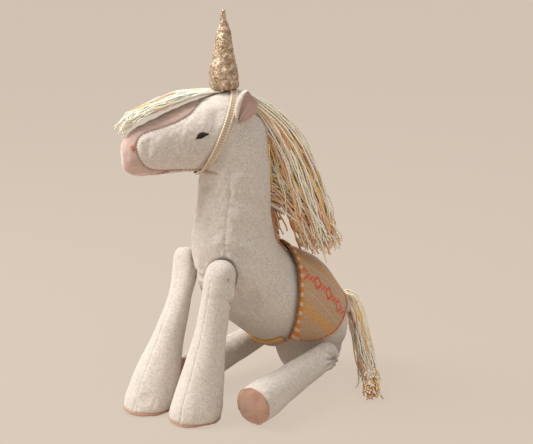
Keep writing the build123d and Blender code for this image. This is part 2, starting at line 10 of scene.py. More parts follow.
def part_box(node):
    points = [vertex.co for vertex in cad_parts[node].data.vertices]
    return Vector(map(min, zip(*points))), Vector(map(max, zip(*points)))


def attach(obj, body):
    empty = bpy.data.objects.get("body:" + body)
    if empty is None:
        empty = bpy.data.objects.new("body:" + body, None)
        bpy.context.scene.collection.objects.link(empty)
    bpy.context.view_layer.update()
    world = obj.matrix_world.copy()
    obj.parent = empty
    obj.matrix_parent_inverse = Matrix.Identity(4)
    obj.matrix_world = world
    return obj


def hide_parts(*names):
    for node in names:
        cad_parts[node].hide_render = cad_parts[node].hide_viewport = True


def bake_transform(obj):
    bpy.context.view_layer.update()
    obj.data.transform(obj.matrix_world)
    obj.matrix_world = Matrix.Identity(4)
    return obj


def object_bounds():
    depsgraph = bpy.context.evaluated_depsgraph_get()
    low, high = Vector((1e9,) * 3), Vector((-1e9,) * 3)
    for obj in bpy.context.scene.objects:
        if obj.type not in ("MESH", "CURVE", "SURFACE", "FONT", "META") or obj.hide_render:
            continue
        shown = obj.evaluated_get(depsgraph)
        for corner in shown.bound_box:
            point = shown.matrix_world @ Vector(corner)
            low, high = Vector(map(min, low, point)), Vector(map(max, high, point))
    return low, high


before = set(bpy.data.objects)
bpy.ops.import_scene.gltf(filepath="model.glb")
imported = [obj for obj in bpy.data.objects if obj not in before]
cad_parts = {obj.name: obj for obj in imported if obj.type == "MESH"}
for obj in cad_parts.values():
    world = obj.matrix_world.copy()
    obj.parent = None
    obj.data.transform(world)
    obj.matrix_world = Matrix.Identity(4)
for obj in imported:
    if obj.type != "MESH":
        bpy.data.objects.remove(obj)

# A sitting plush unicorn: stuffed linen, wool yarn mane and tail, gilt horn,
# woven saddle cloth. Metres, +Z up, chest towards -Y, its left side +X.

cad_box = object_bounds()
rng = np.random.default_rng(7)
MM = 0.001
UP, LEFT = Vector((0, 0, 1)), Vector((1, 0, 0))
SIDES = ((1, "left"), (-1, "right"))


def link(name, data):
    thing = bpy.data.objects.new(name, data)
    bpy.context.collection.objects.link(thing)
    return thing


def set_all(thing, values):
    for key, value in values.items():
        setattr(thing, key, value)


# ================================================================= colours and nodes
def srgb(red, green, blue):
    """Linear colour from the 8-bit values that a screen shows."""
    values = [c / 255 for c in (red, green, blue)]
    return [c / 12.92 if c < 0.04045 else ((c + 0.055) / 1.055) ** 2.4 for c in values] + [1.0]


def shade(colour, factor):
    return [min(1, c * factor) for c in colour[:3]] + [1.0]


class Nodes:
    """Short calls for building one node tree."""

    def __init__(self, owner):
        owner.use_nodes = True
        self.owner = owner
        self.nodes, self.links = owner.node_tree.nodes, owner.node_tree.links

    def put(self, node, inputs):
        """Link each input to a node's output, or set it to a constant."""
        for socket, value in inputs.items():
            if isinstance(value, bpy.types.NodeSocket):
                self.links.new(value, node.inputs[socket])
            else:
                node.inputs[socket].default_value = value

    def make(self, kind, inputs, **settings):
        """The outputs of a new node."""
        node = self.nodes.new("ShaderNode" + kind)
        set_all(node, settings)
        self.put(node, inputs)
        return node.outputs

    def maths(self, operation, *values):
        return self.make("Math", dict(enumerate(values)), operation=operation)[0]

    def times(self, a, b):
        return self.maths("MULTIPLY", a, b)

    def scaled(self, a, factor, more):
        """a times factor, plus more."""
        return self.maths("MULTIPLY_ADD", a, factor, more)

    def gap(self, a, b):
        """How far apart two values are."""
        return self.maths("ABSOLUTE", self.maths("SUBTRACT", a, b))

    def place(self, scale=(1, 1, 1), turn=(0, 0, 0), uv=False):
        """Object or UV coordinates, scaled and turned."""
        source = self.make("TexCoord", {})["UV" if uv else "Object"]
        return self.make("Mapping", {"Vector": source, "Scale": scale, "Rotation": turn})[0]

    def u_and_v(self):
        parts = self.make("SeparateXYZ", {0: self.place(uv=True)})
        return parts["X"], parts["Y"]

    def noise(self, place, scale, detail=2, roughness=0.5, distortion=0):
        return self.make("TexNoise", {"Vector": place, "Scale": scale, "Detail": detail,
                                      "Roughness": roughness, "Distortion": distortion})["Fac"]

    def ramp(self, value, *stops):
        """Colour of a value between stops, which are positions with colours."""
        node = self.nodes.new("ShaderNodeValToRGB")
        self.put(node, {"Fac": value})
        elements = node.color_ramp.elements
        while len(elements) < len(stops):
            elements.new(0.5)
        for element, (position, colour) in zip(elements, stops):
            element.position, element.color = position, colour
        return node.outputs["Color"]

    def mix(self, share, a, b):
        return self.make("Mix", {0: share, 6: a, 7: b}, data_type="RGBA")[2]


class Material(Nodes):
    """Nodes of a new material; further arguments are sockets of its shader."""

    def __init__(self, name, roughness, specular, **sockets):
        super().__init__(bpy.data.materials.new(name))
        self.shader = self.nodes["Principled BSDF"]
        self.put(self.shader, {"Roughness": roughness, "Specular IOR Level": specular})
        self.put(self.shader, {key.replace("_", " "): value for key, value in sockets.items()})

    def finish(self, colour, height, strength, distance):
        """Colour and bump the material, and return it. distance is in millimetres."""
        bump = self.make("Bump", {"Height": height, "Strength": strength,
                                  "Distance": distance * MM})
        self.put(self.shader, {"Base Color": colour, "Normal": bump["Normal"]})
        return self.owner


# ================================================================= camera and light
VIEW_AZIMUTH, VIEW_ELEVATION, VIEW_DISTANCE = 52, 13.5, 1.2
VIEW_TARGET = Vector((0.0647, -0.1061, 0.195))
LENS = 85
BACKDROP, FLOOR = srgb(213, 198, 182), srgb(206, 192, 178)
FLOOR_SIZE, FLOOR_SHARE = 60, 0.9
SKY, SKY_STRENGTH = (1, 0.985, 0.965, 1), 0.54
LAMP_DISTANCE = 1.6
# Azimuth, elevation, size in metres and power in watts.
LAMPS = {"key": (-40, 50, 0.9, 34.5), "fill": (100, 60, 1.5, 5)}


def aim(thing, azimuth, elevation, distance):
    a, e = radians(azimuth), radians(elevation)
    way = Vector((sin(a) * cos(e), -cos(a) * cos(e), sin(e))) * distance
    thing.location = VIEW_TARGET + way
    thing.rotation_euler = (VIEW_TARGET - thing.location).to_track_quat("-Z", "Y").to_euler()


def show_backdrop(tree, output, lit, plain, share):
    """Show the camera and gloss this share of the backdrop's colour, and light the rest."""
    ray = tree.make("LightPath", {})
    seen = tree.maths("MAXIMUM", ray["Is Camera Ray"], ray["Is Glossy Ray"])
    mix = tree.make("MixShader", {0: tree.times(seen, share), 1: lit.outputs[0],
                                  2: tree.make(plain, {"Color": BACKDROP})[0]})
    tree.put(tree.nodes[output], {"Surface": mix[0]})


def make_stage():
    scene = bpy.context.scene
    scene.camera = link("camera", bpy.data.cameras.new("camera"))
    scene.camera.data.lens = LENS
    aim(scene.camera, VIEW_AZIMUTH, VIEW_ELEVATION, VIEW_DISTANCE)
    scene.view_settings.view_transform = "Standard"
    bpy.ops.mesh.primitive_plane_add(size=FLOOR_SIZE, location=(0, 0, cad_box[0].z))
    floor = bpy.context.object
    floor.name = "floor"
    tree = Material("floor", 1, 0, Base_Color=FLOOR)
    show_backdrop(tree, "Material Output", tree.shader, "Emission", FLOOR_SHARE)
    floor.data.materials.append(tree.owner)
    scene.world = bpy.data.worlds.new("studio")
    tree = Nodes(scene.world)
    sky = tree.nodes["Background"]
    tree.put(sky, {"Color": SKY, "Strength": SKY_STRENGTH})
    show_backdrop(tree, "World Output", sky, "Background", 1.0)
    for name, (azimuth, elevation, size, power) in LAMPS.items():
        lamp = bpy.data.lights.new(name, "AREA")
        lamp.size, lamp.energy = size, power
        aim(link(name, lamp), azimuth, elevation, LAMP_DISTANCE)


make_stage()

# ================================================================= the head's frame
NECK_Y, HEAD_Z, HEAD_TURN = -0.094, 0.271, radians(22)
FORWARD = Vector((-sin(HEAD_TURN), -cos(HEAD_TURN), 0))
LEFTWARD = Vector((cos(HEAD_TURN), -sin(HEAD_TURN), 0))
HEAD = Vector((0, NECK_Y, HEAD_Z))


def on_head(ahead, height, side=0):
    """Point in millimetres ahead of the neck axis, over the head's middle, to its left."""
    return HEAD + (FORWARD * ahead + UP * height + LEFTWARD * side) * MM


def head_coords(co):
    """Columns ahead, side and height in millimetres for an array of points."""
    local = (co - np.array(HEAD)) / MM
    return local @ np.array(FORWARD), local @ np.array(LEFTWARD), local[:, 2]


# ================================================================= mesh tools
def rows_of(items, key, wide=3, kind=float):
    """One value of every mesh item, as the rows of an array."""
    values = np.empty(len(items) * wide, kind)
    items.foreach_get(key, values)
    return values.reshape(-1, wide)


def coords(mesh):
    return rows_of(mesh.vertices, "co")


def put_coords(mesh, co):
    mesh.vertices.foreach_set("co", np.ascontiguousarray(co).ravel())
    mesh.update()


def edge_array(mesh):
    return rows_of(mesh.edges, "vertices", 2, int)


def vertex_normals(mesh):
    return rows_of(mesh.vertex_normals, "vector")


def press(mesh, co, depth):
    """Give the mesh these points, pressed in along its normals by millimetres."""
    put_coords(mesh, co - vertex_normals(mesh) * (depth * MM)[:, None])


def bell(distance, width):
    return np.exp(-(distance / width) ** 2)


def distance_along(co, start, way):
    return (co - np.array(start)) @ np.array(way)


def noise_at(co, scale, seed=0.0):
    return np.array([noise.noise(Vector(p) * scale + Vector((seed, 0, 0))) for p in co])


def smooth_step(x):
    x = min(max(x, 0.0), 1.0)
    return x * x * (3 - 2 * x)


def curve_point(p0, p1, p2, p3, f):
    """Point at share f between p1 and p2 of a smooth curve through four points."""
    return (p1 * 2 + (p2 - p0) * f + (p0 * 2 - p1 * 5 + p2 * 4 - p3) * f * f
            + (p1 * 3 - p0 - p2 * 3 + p3) * f ** 3) * 0.5


def rounded_line(points, parts=6):
    """A smooth line through the points."""
    points = [np.array(p, float) for p in points]
    ends = [points[0], *points, points[-1]]
    line = [curve_point(*ends[i:i + 4], f) for i in range(len(points) - 1)
            for f in np.arange(parts) / parts]
    return np.array(line + [points[-1]])


def neighbour_mean(values, edges):
    """Mean of each vertex's neighbours."""
    total = np.zeros_like(values)
    count = np.zeros(len(values))
    for a, b in ((0, 1), (1, 0)):
        np.add.at(total, edges[:, a], values[edges[:, b]])
        np.add.at(count, edges[:, a], 1)
    return total / np.maximum(count, 1).reshape(-1, *[1] * (values.ndim - 1))


def smoothed(co, edges, rounds=6, push=0.5, pull=-0.53):
    """Taubin smoothing, which keeps the volume."""
    for _ in range(rounds):
        for factor in (push, pull):
            co = co + factor * (neighbour_mean(co, edges) - co)
    return co


def bake_modifiers(thing):
    """Replace the object's mesh by its modified mesh."""
    bpy.context.view_layer.update()
    graph = bpy.context.evaluated_depsgraph_get()
    mesh = bpy.data.meshes.new_from_object(thing.evaluated_get(graph))
    old = thing.data
    thing.modifiers.clear()
    thing.data = mesh
    bpy.data.meshes.remove(old)


def modify(thing, kind, **settings):
    """Change the object's mesh by one modifier."""
    set_all(thing.modifiers.new(kind.lower(), kind), settings)
    bake_modifiers(thing)


def subdivide(thing):
    modify(thing, "SUBSURF", levels=1, render_levels=1)


def merged(things):
    """A working mesh of several objects' meshes."""
    form = bmesh.new()
    for thing in things:
        form.from_mesh(thing.data)
    return form


def hand_back(form, mesh):
    form.to_mesh(mesh)
    form.free()


def ray_target(thing):
    """The surface of an object as it is now, for rays and nearest points."""
    form = merged([thing])
    tree = BVHTree.FromBMesh(form)
    form.free()
    return tree


def outer_shell(thing):
    """Keep only the largest connected piece of the mesh."""
    form = merged([thing])
    seen, best = set(), []
    for start in form.verts:
        if start in seen:
            continue
        island, stack = [], [start]
        seen.add(start)
        while stack:
            island.append(stack.pop())
            for edge in island[-1].link_edges:
                other = edge.other_vert(island[-1])
                if other not in seen:
                    seen.add(other)
                    stack.append(other)
        best = max(best, island, key=len)
    keep = set(best)
    bmesh.ops.delete(form, geom=[v for v in form.verts if v not in keep], context="VERTS")
    hand_back(form, thing.data)


def remeshed(name, nodes, voxel, shrink):
    """One closed even mesh round several CAD nodes, drawn in; sizes in millimetres."""
    mesh = bpy.data.meshes.new(name)
    hand_back(merged([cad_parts[node] for node in nodes]), mesh)
    thing = link(name, mesh)
    modify(thing, "REMESH", mode="VOXEL", voxel_size=voxel * MM)
    outer_shell(thing)
    mesh = thing.data
    put_coords(mesh, smoothed(coords(mesh), edge_array(mesh)))
    put_coords(mesh, coords(mesh) - vertex_normals(mesh) * (shrink * MM))
    return thing


def paint(thing, materials, number_of=lambda centres: np.zeros(len(centres))):
    """Give each face the material whose number a function of the face centres returns."""
    mesh = thing.data
    mesh.materials.clear()
    for material in materials:
        mesh.materials.append(material)
    faces = mesh.polygons
    faces.foreach_set("material_index", number_of(rows_of(faces, "center")).astype(int))
    faces.foreach_set("use_smooth", [True] * len(faces))
    mesh.update()


def place_piece(thing, body_name, slot_name, *nodes):
    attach(thing, body_name)
    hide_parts(*nodes)


# ================================================================= stuffing
STUFFING_FRAMES = 20
STUFFED_CLOTH = {
    "quality": 4, "mass": 0.25, "tension_stiffness": 14, "compression_stiffness": 14,
    "shear_stiffness": 4, "bending_stiffness": 0.35, "use_pressure": True,
    "uniform_pressure_force": 4, "shrink_min": -0.035, "vertex_group_mass": "seams"}


def stuff(things, pins, caps):
    """Swell closed cloth forms by simulation, all at once. pins are per-vertex weights
    that hold the seams, caps the most millimetres that a point may move."""
    starts = [coords(thing.data) for thing in things]
    for thing, pin in zip(things, pins):
        group = thing.vertex_groups.new(name="seams")
        for index in np.nonzero(pin > 0.02)[0]:
            group.add([int(index)], float(pin[index]), "REPLACE")
        cloth = thing.modifiers.new("cloth", "CLOTH")
        set_all(cloth.settings, STUFFED_CLOTH)
        cloth.settings.effector_weights.gravity = 0
        cloth.collision_settings.use_collision = False
        cloth.point_cache.frame_end = STUFFING_FRAMES + 1
    for number in range(1, STUFFING_FRAMES + 1):
        bpy.context.scene.frame_set(number)
    for thing, start, cap in zip(things, starts, caps):
        bake_modifiers(thing)
        thing.vertex_groups.clear()
        moved = coords(thing.data) - start
        length = np.linalg.norm(moved, axis=1, keepdims=True)
        moved *= np.minimum(1, cap * MM / np.maximum(length, 1e-9))
        put_coords(thing.data, start + moved)
    bpy.context.scene.frame_set(1)


# ================================================================= seams
# A seam is a pair of functions of an array of points: a field in millimetres that is zero
# along the seam, and a mask of where the seam runs.
FAR = 99


def surface_distance(field, co, edges):
    """The field as a true distance along the surface, in millimetres."""
    span = np.linalg.norm(co[edges[:, 0]] - co[edges[:, 1]], axis=1) / MM
    rate = np.abs(field[edges[:, 0]] - field[edges[:, 1]]) / np.maximum(span, 1e-6)
    slope = np.zeros(len(field))
    for a in (0, 1):
        np.maximum.at(slope, edges[:, a], rate)
    return field / np.clip(neighbour_mean(slope, edges), 0.35, 3)


def seam_distance(thing, seam):
    """Millimetres from each vertex to the seam, or FAR where it doesn't run."""
    field_of, runs_at = seam
    co = coords(thing.data)
    distance = np.abs(surface_distance(field_of(co), co, edge_array(thing.data)))
    return np.where(runs_at(co), distance, FAR)


def cut_line(thing, field, active):
    """Split faces where a field on the active vertices changes sign, and list the line."""
    form = merged([thing])
    value = {v: float(field[v.index]) for v in form.verts if active[v.index]}
    line = {}       # used for its keys, which keep their order where a set's may not
    for edge in list(form.edges):
        a, b = edge.verts
        if a not in value or b not in value or (value[a] > 0) == (value[b] > 0):
            continue
        share = value[a] / (value[a] - value[b])
        if share < 0.15 or share > 0.85:
            line[a if share < 0.5 else b] = True
        else:
            line[bmesh.utils.edge_split(edge, a, share)[1]] = True
    bmesh.ops.connect_verts(form, verts=list(line))
    form.verts.index_update()
    numbers = sorted(v.index for v in line)
    hand_back(form, thing.data)
    return np.array(numbers, int)


def sew(thing, seam, depth, width, sharp=0.5):
    """Draw a seam into a stuffed form: a groove with a crisp line at its bottom."""
    field_of, runs_at = seam
    mesh = thing.data
    active = runs_at(coords(mesh))
    press(mesh, coords(mesh), depth * bell(seam_distance(thing, seam), width))
    line = cut_line(thing, field_of(coords(mesh)), active)
    co = coords(mesh)
    co[line] -= vertex_normals(mesh)[line] * sharp * MM
    put_coords(mesh, co)


def puckers(distance, along, reach, pitch, seed):
    """Short folds that run away from a seam."""
    ripple = np.array([noise.noise(Vector((a / pitch, seed, 0))) for a in along])
    return bell(distance, reach) * (0.4 + ripple)


def seam_pins(thing, *seams):
    """Weights that hold the seams while the form is stuffed."""
    return np.maximum.reduce([bell(seam_distance(thing, seam), 2.2) for seam in seams])


# ================================================================= cloth
def cloth_material(name, colour, fleck, contrast, weave=0.62, sheen=0.25):
    """Heathered plain weave: slub threads both ways over a mottled ground."""
    tree = Material(name, 0.92, 0.15, Sheen_Weight=sheen, Sheen_Roughness=0.6)
    pitch = 1 / (weave * MM) * 0.9
    upright = tree.noise(tree.place((1, 1, 0.22)), pitch, 3, 0.65)
    across = tree.noise(tree.place((0.22, 0.22, 1)), pitch, 3, 0.65)
    mottle = tree.times(tree.noise(tree.place(), 420, 3, 0.65), 0.3)
    cloud = tree.noise(tree.place(), 28)
    threads = tree.scaled(across, 0.5, tree.times(upright, 0.5))
    value = tree.scaled(cloud, 0.08, tree.scaled(threads, 0.62, mottle))
    tint = tree.ramp(value, (0.38, shade(colour, 1 - contrast)), (0.5, colour),
                     (0.62, shade(colour, 1 + contrast * 0.75)))
    specks = tree.maths("GREATER_THAN", tree.noise(tree.place((1, 1, 0.3)), 900, 2, 0.7), 0.66)
    tint = tree.mix(tree.times(specks, 0.35), tint, fleck)
    return tree.finish(tint, tree.scaled(threads, 0.7, mottle), 0.55, 0.5)


LINEN, PINK, SOLE_PINK = srgb(206, 195, 183), srgb(190, 160, 146), srgb(172, 130, 106)
linen = cloth_material("linen", LINEN, srgb(156, 139, 122), 0.27, 0.7)
pink_cotton = cloth_material("pink_cotton", PINK, srgb(160, 112, 96), 0.1, 0.5, 0.5)
sole_cotton = cloth_material("sole_cotton", SOLE_PINK, srgb(150, 104, 86), 0.1, 0.5, 0.4)

# ================================================================= body
# Seam between the linen cheek and the pink gusset, from the brow round the nose to the
# throat: millimetres ahead of the neck axis and over the head's middle.
CHEEK = [(26, 42), (39, 31.5), (48, 23.5), (63, 15.8), (79, 10.4), (93, 6), (100, 0),
         (102, -8), (98.5, -19), (91, -27), (78, -30.5), (60, -31), (45, -32), (32, -33)]
CHEEK_LINE = rounded_line(CHEEK)
# Heights in millimetres down the chest gusset, and its half widths there.
CHEST_Z, CHEST_W = (110, 130, 150, 271), (0, 16.8, 28, 21)
BODY_NODES = ["side_left", "side_right", "face_gusset", "chest_gusset", "belly_gusset",
              "body_stuffing"]


def line_distance(line, points):
    """Distance of each point to a line of points, less than zero on its right side."""
    best, signed = np.full(len(points), 1e9), np.zeros(len(points))
    for a, b in zip(line[:-1], line[1:]):
        run = b - a
        share = np.clip(((points - a) @ run) / (run @ run), 0, 1)
        away = points - (a + share[:, None] * run)
        distance = np.linalg.norm(away, axis=1)
        side = np.sign(run[0] * away[:, 1] - run[1] * away[:, 0])
        closer = distance < best
        best = np.where(closer, distance, best)
        signed = np.where(closer, side * distance, signed)
    return signed


def face_field(co):
    """Millimetres inside the pink of the blaze, the muzzle and the strip under the jaw."""
    ahead, _, height = head_coords(co)
    return line_distance(CHEEK_LINE, np.column_stack([ahead, height]))


def on_the_face(co):
    ahead, _, height = head_coords(co)
    return (ahead > 24.5) & (height > np.where(ahead < 40, -36.5, -60))


def chest_field(co):
    """Millimetres inside the gusset down the front of the neck."""
    return np.interp(co[:, 2] / MM, CHEST_Z, CHEST_W) - np.abs(co[:, 0] / MM)


def on_the_chest(co):
    return (co[:, 1] < -0.100) & (co[:, 2] > 0.112) & (head_coords(co)[2] < -33)


def middle_field(co):
    """Millimetres left of the middle seam, which turns with the head."""
    turned = np.clip((co[:, 2] - 0.178) / 0.05, 0, 1)
    return co[:, 0] / MM * (1 - turned) + head_coords(co)[1] * turned


def on_the_back(co):
    ahead, _, height = head_coords(co)
    return (ahead < 24) & ((co[:, 1] > -0.094) & (co[:, 2] > 0.06) | (height > 20))


FACE_SEAM, CHEST_SEAM = (face_field, on_the_face), (chest_field, on_the_chest)
MIDDLE_SEAM = (middle_field, on_the_back)

# The trunk's axis, the way out of its back, and the stuffing that fills the back.
TRUNK_FROM = Vector((0, -0.057, 0.098))
TRUNK_WAY = (Vector((0, -0.002, 0.061)) - TRUNK_FROM).normalized()
DORSAL = LEFT.cross(TRUNK_WAY).normalized()
BACK_RISE, BACK_AT, BACK_AHEAD, BACK_BEHIND = 11, 38, 46, 35


def trunk_parts(co):
    """How far points are along the trunk's axis, and their offsets from it."""
    along = distance_along(co, TRUNK_FROM, TRUNK_WAY)
    return along, co - np.array(TRUNK_FROM) - along[:, None] * np.array(TRUNK_WAY)


def back_filled(co):
    """Points moved out where the stuffing fills the back under the saddle."""
    along, out = trunk_parts(co)
    up = out @ np.array(DORSAL) / np.maximum(np.linalg.norm(out, axis=1), 1e-6)
    past = along / MM - BACK_AT
    reach = np.where(past < 0, BACK_AHEAD, BACK_BEHIND)
    rise = BACK_RISE * bell(past, reach) * np.clip(up, 0, 1)
    return co + (rise * MM)[:, None] * np.array(DORSAL)


def on_the_floor(thing):
    """Flatten what has sunk below the floor."""
    co = coords(thing.data)
    co[:, 2] = np.maximum(co[:, 2], 0)
    put_coords(thing.data, co)


EYE_DIMPLE_S, EYE_DIMPLE_Z, EYE_RAYS = 41, 4, 9


def finish_body(body):
    subdivide(body)
    mesh = body.data
    put_coords(mesh, back_filled(coords(mesh)))
    co = coords(mesh)
    ahead, side, height = head_coords(co)
    depth = (0.6 * puckers(seam_distance(body, FACE_SEAM), ahead + height, 6, 3.5, 1)
             + 0.8 * puckers(seam_distance(body, CHEST_SEAM), height, 8, 4.5, 2))
    from_eye = ahead - EYE_DIMPLE_S, height - EYE_DIMPLE_Z
    rays = np.cos(np.arctan2(from_eye[1], from_eye[0]) * EYE_RAYS + side * 0.2)
    depth += bell(np.hypot(*from_eye) - 6, 5) * (0.35 + 0.3 * rays)
    press(mesh, co, depth - 0.9 * noise_at(co, 38))
    sew(body, MIDDLE_SEAM, 0.7, 1.6)
    sew(body, CHEST_SEAM, 0.9, 1.6)
    sew(body, FACE_SEAM, 1.1, 1.6)
    on_the_floor(body)
    paint(body, [linen, pink_cotton], lambda at: (face_field(at) > 0) & on_the_face(at))


# ----------------------------------------------------------------- legs
# Joint and sole middle in millimetres, and whether the sole stands on the floor.
SHOULDER, HIP = (31, -137, 138), (52, -19, 38)
LEGS = {
    "front_left": (SHOULDER, (34, -171, 0), True),
    "front_right": ((-31, -137, 138), (-19, -190, 0), True),
    "hind_left": (HIP, (86, -141, 21.8), False),
    "hind_right": ((-52, -19, 38), (-24, -143, 21.8), False),
}
SOLE_T = 4.4
# Tucks across a hind leg: millimetres down from its joint, and their depths.
HIND_TUCKS = ((24, 1.3), (47, 0.9), (63, 0.7))


def leg_frame(leg):
    """The leg's joint, its sole's middle and the direction down it."""
    top, end, on_floor = LEGS[leg]
    top, end = Vector(top) * MM, Vector(end) * MM
    return top, end, (end - top).normalized(), on_floor


def leg_nodes(leg):
    return [f"leg_{leg}_{part}" for part in ("cover", "stuffing", "sole")]


def leg_seams(leg):
    """The seam round the leg's sole and the one down its length."""
    top, end, down, on_floor = leg_frame(leg)
    inward = UP if on_floor else -down
    outside = Vector((0.35, -1, 0.1) if on_floor else (0.1, 0.1, 1))
    across = down.cross(outside).normalized()

    def sole_field(co):
        return SOLE_T - distance_along(co, end, inward) / MM

    def by_the_seam(co):
        return ((distance_along(co, top, outside) > 0) & (sole_field(co) < -1)
                & (distance_along(co, top, down) > 0.004))
    return ((sole_field, lambda co: np.ones(len(co), bool)),
            (lambda co: distance_along(co, top, across) / MM, by_the_seam))


def finish_leg(thing, leg):
    top, _, down, on_floor = leg_frame(leg)
    sole_seam, long_seam = leg_seams(leg)
    sole_field, _ = sole_seam
    side = 1 if top.x > 0 else -1
    subdivide(thing)
    mesh = thing.data
    co = coords(mesh)
    reach = distance_along(co, top, down) / MM
    back, rise = co[:, 1] - top.y, co[:, 2] - top.z
    spread, around = np.hypot(back, rise) / MM, np.arctan2(rise, back)
    outer = np.clip((co[:, 0] - top.x) * side / MM / 12, 0, 1)
    depth = -1.1 * noise_at(co, 40, top.x)
    if on_floor:
        behind = np.clip(back / MM / 10 + 0.5, 0.1, 1)
        fold = reach - 20 - 5 * noise_at(co, 25, 3) - 3 * behind
        depth += outer * behind * (3.4 * bell(fold, 2.2) - 1.2 * bell(fold + 8, 6))
        depth += 0.9 * bell(reach - 34 - 8 * noise_at(co, 22, 7), 2.5) * behind
        depth += outer * bell(spread, 5) * 1.6
    else:
        ray = np.cos(around * 9 + 5 * noise_at(co, 60, 2))
        depth += outer * bell(spread - 6, 8) * (2.4 * ray + 0.9)
        depth += outer * bell(spread, 3.4) * 2.4
        above = np.clip(rise / MM / 8 + 0.6, 0, 1)
        for tuck_at, strength in HIND_TUCKS:
            tuck = reach - tuck_at - 12 * noise_at(co, 20, 5 + tuck_at)
            depth += strength * bell(tuck, 2.6) * above
    depth += 0.5 * puckers(np.abs(sole_field(co)), around * 20, 7, 3, 4)
    co = co - vertex_normals(mesh) * (depth * MM)[:, None]
    if leg == "front_right":
        # Its front is drawn back at the shoulder, behind the other leg's.
        ahead = np.maximum(top.y - co[:, 1], 0) * bell(np.maximum(reach, 0), 60)
        co[:, 1] += 0.5 * ahead
    put_coords(mesh, co)
    sew(thing, long_seam, 0.35, 1.4, 0.4)
    sew(thing, sole_seam, 0.9, 1.5, 0.3)
    on_the_floor(thing)
    paint(thing, [linen, sole_cotton], lambda at: sole_field(at) > 0)


BODY_SHRINK, LEG_SHRINK = ((2.6, 1.3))
body = remeshed("body", BODY_NODES, 3.0, BODY_SHRINK)
legs = {leg: remeshed("leg_" + leg, leg_nodes(leg), 2.5, LEG_SHRINK) for leg in LEGS}
stuff([body, *legs.values()],
      [seam_pins(body, FACE_SEAM, CHEST_SEAM)]
      + [seam_pins(thing, leg_seams(leg)[0]) for leg, thing in legs.items()],
      [2.8] + [2.2] * len(legs))
finish_body(body)
place_piece(body, "torso", "linen", *BODY_NODES)
for leg, thing in legs.items():
    finish_leg(thing, leg)
    place_piece(thing, "leg_" + leg, "linen", *leg_nodes(leg))
body_surface = ray_target(body)


# ================================================================= small parts
def inward_hit(tree, point, direction):
    """Place and normal where a ray along -direction comes in from outside, or None."""
    place, normal, _, _ = tree.ray_cast(Vector(point) + direction * 0.12, -direction, 0.24)
    return (place, normal) if place is not None else None


class Soup:
    """Collects vertices, faces, UVs and material numbers for one mesh."""

    def __init__(self):
        self.verts, self.faces, self.uvs, self.slots = [], [], [], []

    def grid(self, rows, uvs, slot=0, around=False):
        """Quads between equally long rows of points; around closes each row."""
        start, wide = len(self.verts), len(rows[0])
        for row in rows:
            self.verts.extend(row)
        for i in range(len(rows) - 1):
            for j in range(wide if around else wide - 1):
                k = (j + 1) % wide
                corners = [(i, j), (i, k), (i + 1, k), (i + 1, j)]
                self.faces.append([start + r * wide + c for r, c in corners])
                spots = [(i, j), (i, j + 1), (i + 1, j + 1), (i + 1, j)]
                self.uvs.append([uvs(r, c) for r, c in spots])
                self.slots.append(slot)

    def face(self, points, uvs, slot=0):
        """One face with vertices of its own."""
        start = len(self.verts)
        self.verts.extend(points)
        self.faces.append(list(range(start, start + len(points))))
        self.uvs.append(uvs)
        self.slots.append(slot)

    def tube(self, path, radius, slot=0, sides=6, taper=1.0):
        """A tube along a path; UV u runs along it and v round it, in millimetres and turns."""
        path = [Vector(p) for p in path]
        lengths, side, rows = [0.0], None, []
        for a, b in zip(path, path[1:]):
            lengths.append(lengths[-1] + (b - a).length / MM)
        for i, point in enumerate(path):
            along = (path[min(i + 1, len(path) - 1)] - path[max(i - 1, 0)]).normalized()
            if side is None:
                side = along.orthogonal().normalized()
            side = (side - along * side.dot(along)).normalized()
            up = along.cross(side)
            r = radius * (1 + (taper - 1) * i / (len(path) - 1))
            turns = [2 * pi * k / sides for k in range(sides)]
            rows.append([point + side * cos(t) * r + up * sin(t) * r for t in turns])
        self.grid(rows, lambda r, c: (lengths[r], c / sides), slot, around=True)
        for row in (rows[0], rows[-1]):
            self.face(row, [(0, 0)] * sides, slot)

    def build(self, name, materials):
        mesh = bpy.data.meshes.new(name)
        mesh.from_pydata([tuple(v) for v in self.verts], [], self.faces)
        flat = [value for face in self.uvs for spot in face for value in spot]
        mesh.uv_layers.new(name="UVMap").data.foreach_set("uv", flat)
        mesh.polygons.foreach_set("material_index", self.slots)
        mesh.polygons.foreach_set("use_smooth", [True] * len(mesh.polygons))
        for material in materials:
            mesh.materials.append(material)
        thing = link(name, mesh)
        form = merged([thing])
        bmesh.ops.remove_doubles(form, verts=form.verts, dist=0.02 * MM)
        bmesh.ops.recalc_face_normals(form, faces=form.faces)
        hand_back(form, mesh)
        mesh.update()
        return thing


# ----------------------------------------------------------------- threads on the face
def thread_material(name, colour):
    tree = Material(name, 0.6, 0.3, Sheen_Weight=0.2)
    place = tree.place((0.9, 2, 1), (0, 0, 0.6), uv=True)
    ply = tree.make("TexWave", {"Vector": place, "Scale": 1.0})["Fac"]
    # Painted shade and painted highlight: the colour is darkened in the grooves between the
    # twisted plies and lightened on their crowns, where the bump rises.
    tint = tree.mix(ply, shade(colour, 0.72), shade(colour, 1.15))
    return tree.finish(tint, ply, 0.5, 0.2)


black_thread = thread_material("black_thread", srgb(38, 27, 22))
rose_thread = thread_material("rose_thread", srgb(196, 128, 108))
ochre_thread = thread_material("ochre_thread", srgb(200, 128, 82))
pale_thread = thread_material("pale_thread", srgb(205, 188, 170))
seam_thread = thread_material("seam_thread", srgb(160, 124, 104))


def stitch(soup, start, end, out, radius, lift, slot=0, surface=body_surface):
    """One stitch lying on a surface from start to end, its ends sunk in the cloth. Its
    radius and how far its middle stands up are in millimetres."""
    points = []
    for i in range(7):
        share = i / 6
        found = inward_hit(surface, start.lerp(end, share), out)
        if found is None:
            return
        place, normal = found
        arch = lift * MM * (4 * share * (1 - share)) ** 0.4 - radius * MM * 0.6
        points.append(place + normal * arch)
    soup.tube(points, radius * MM, slot)


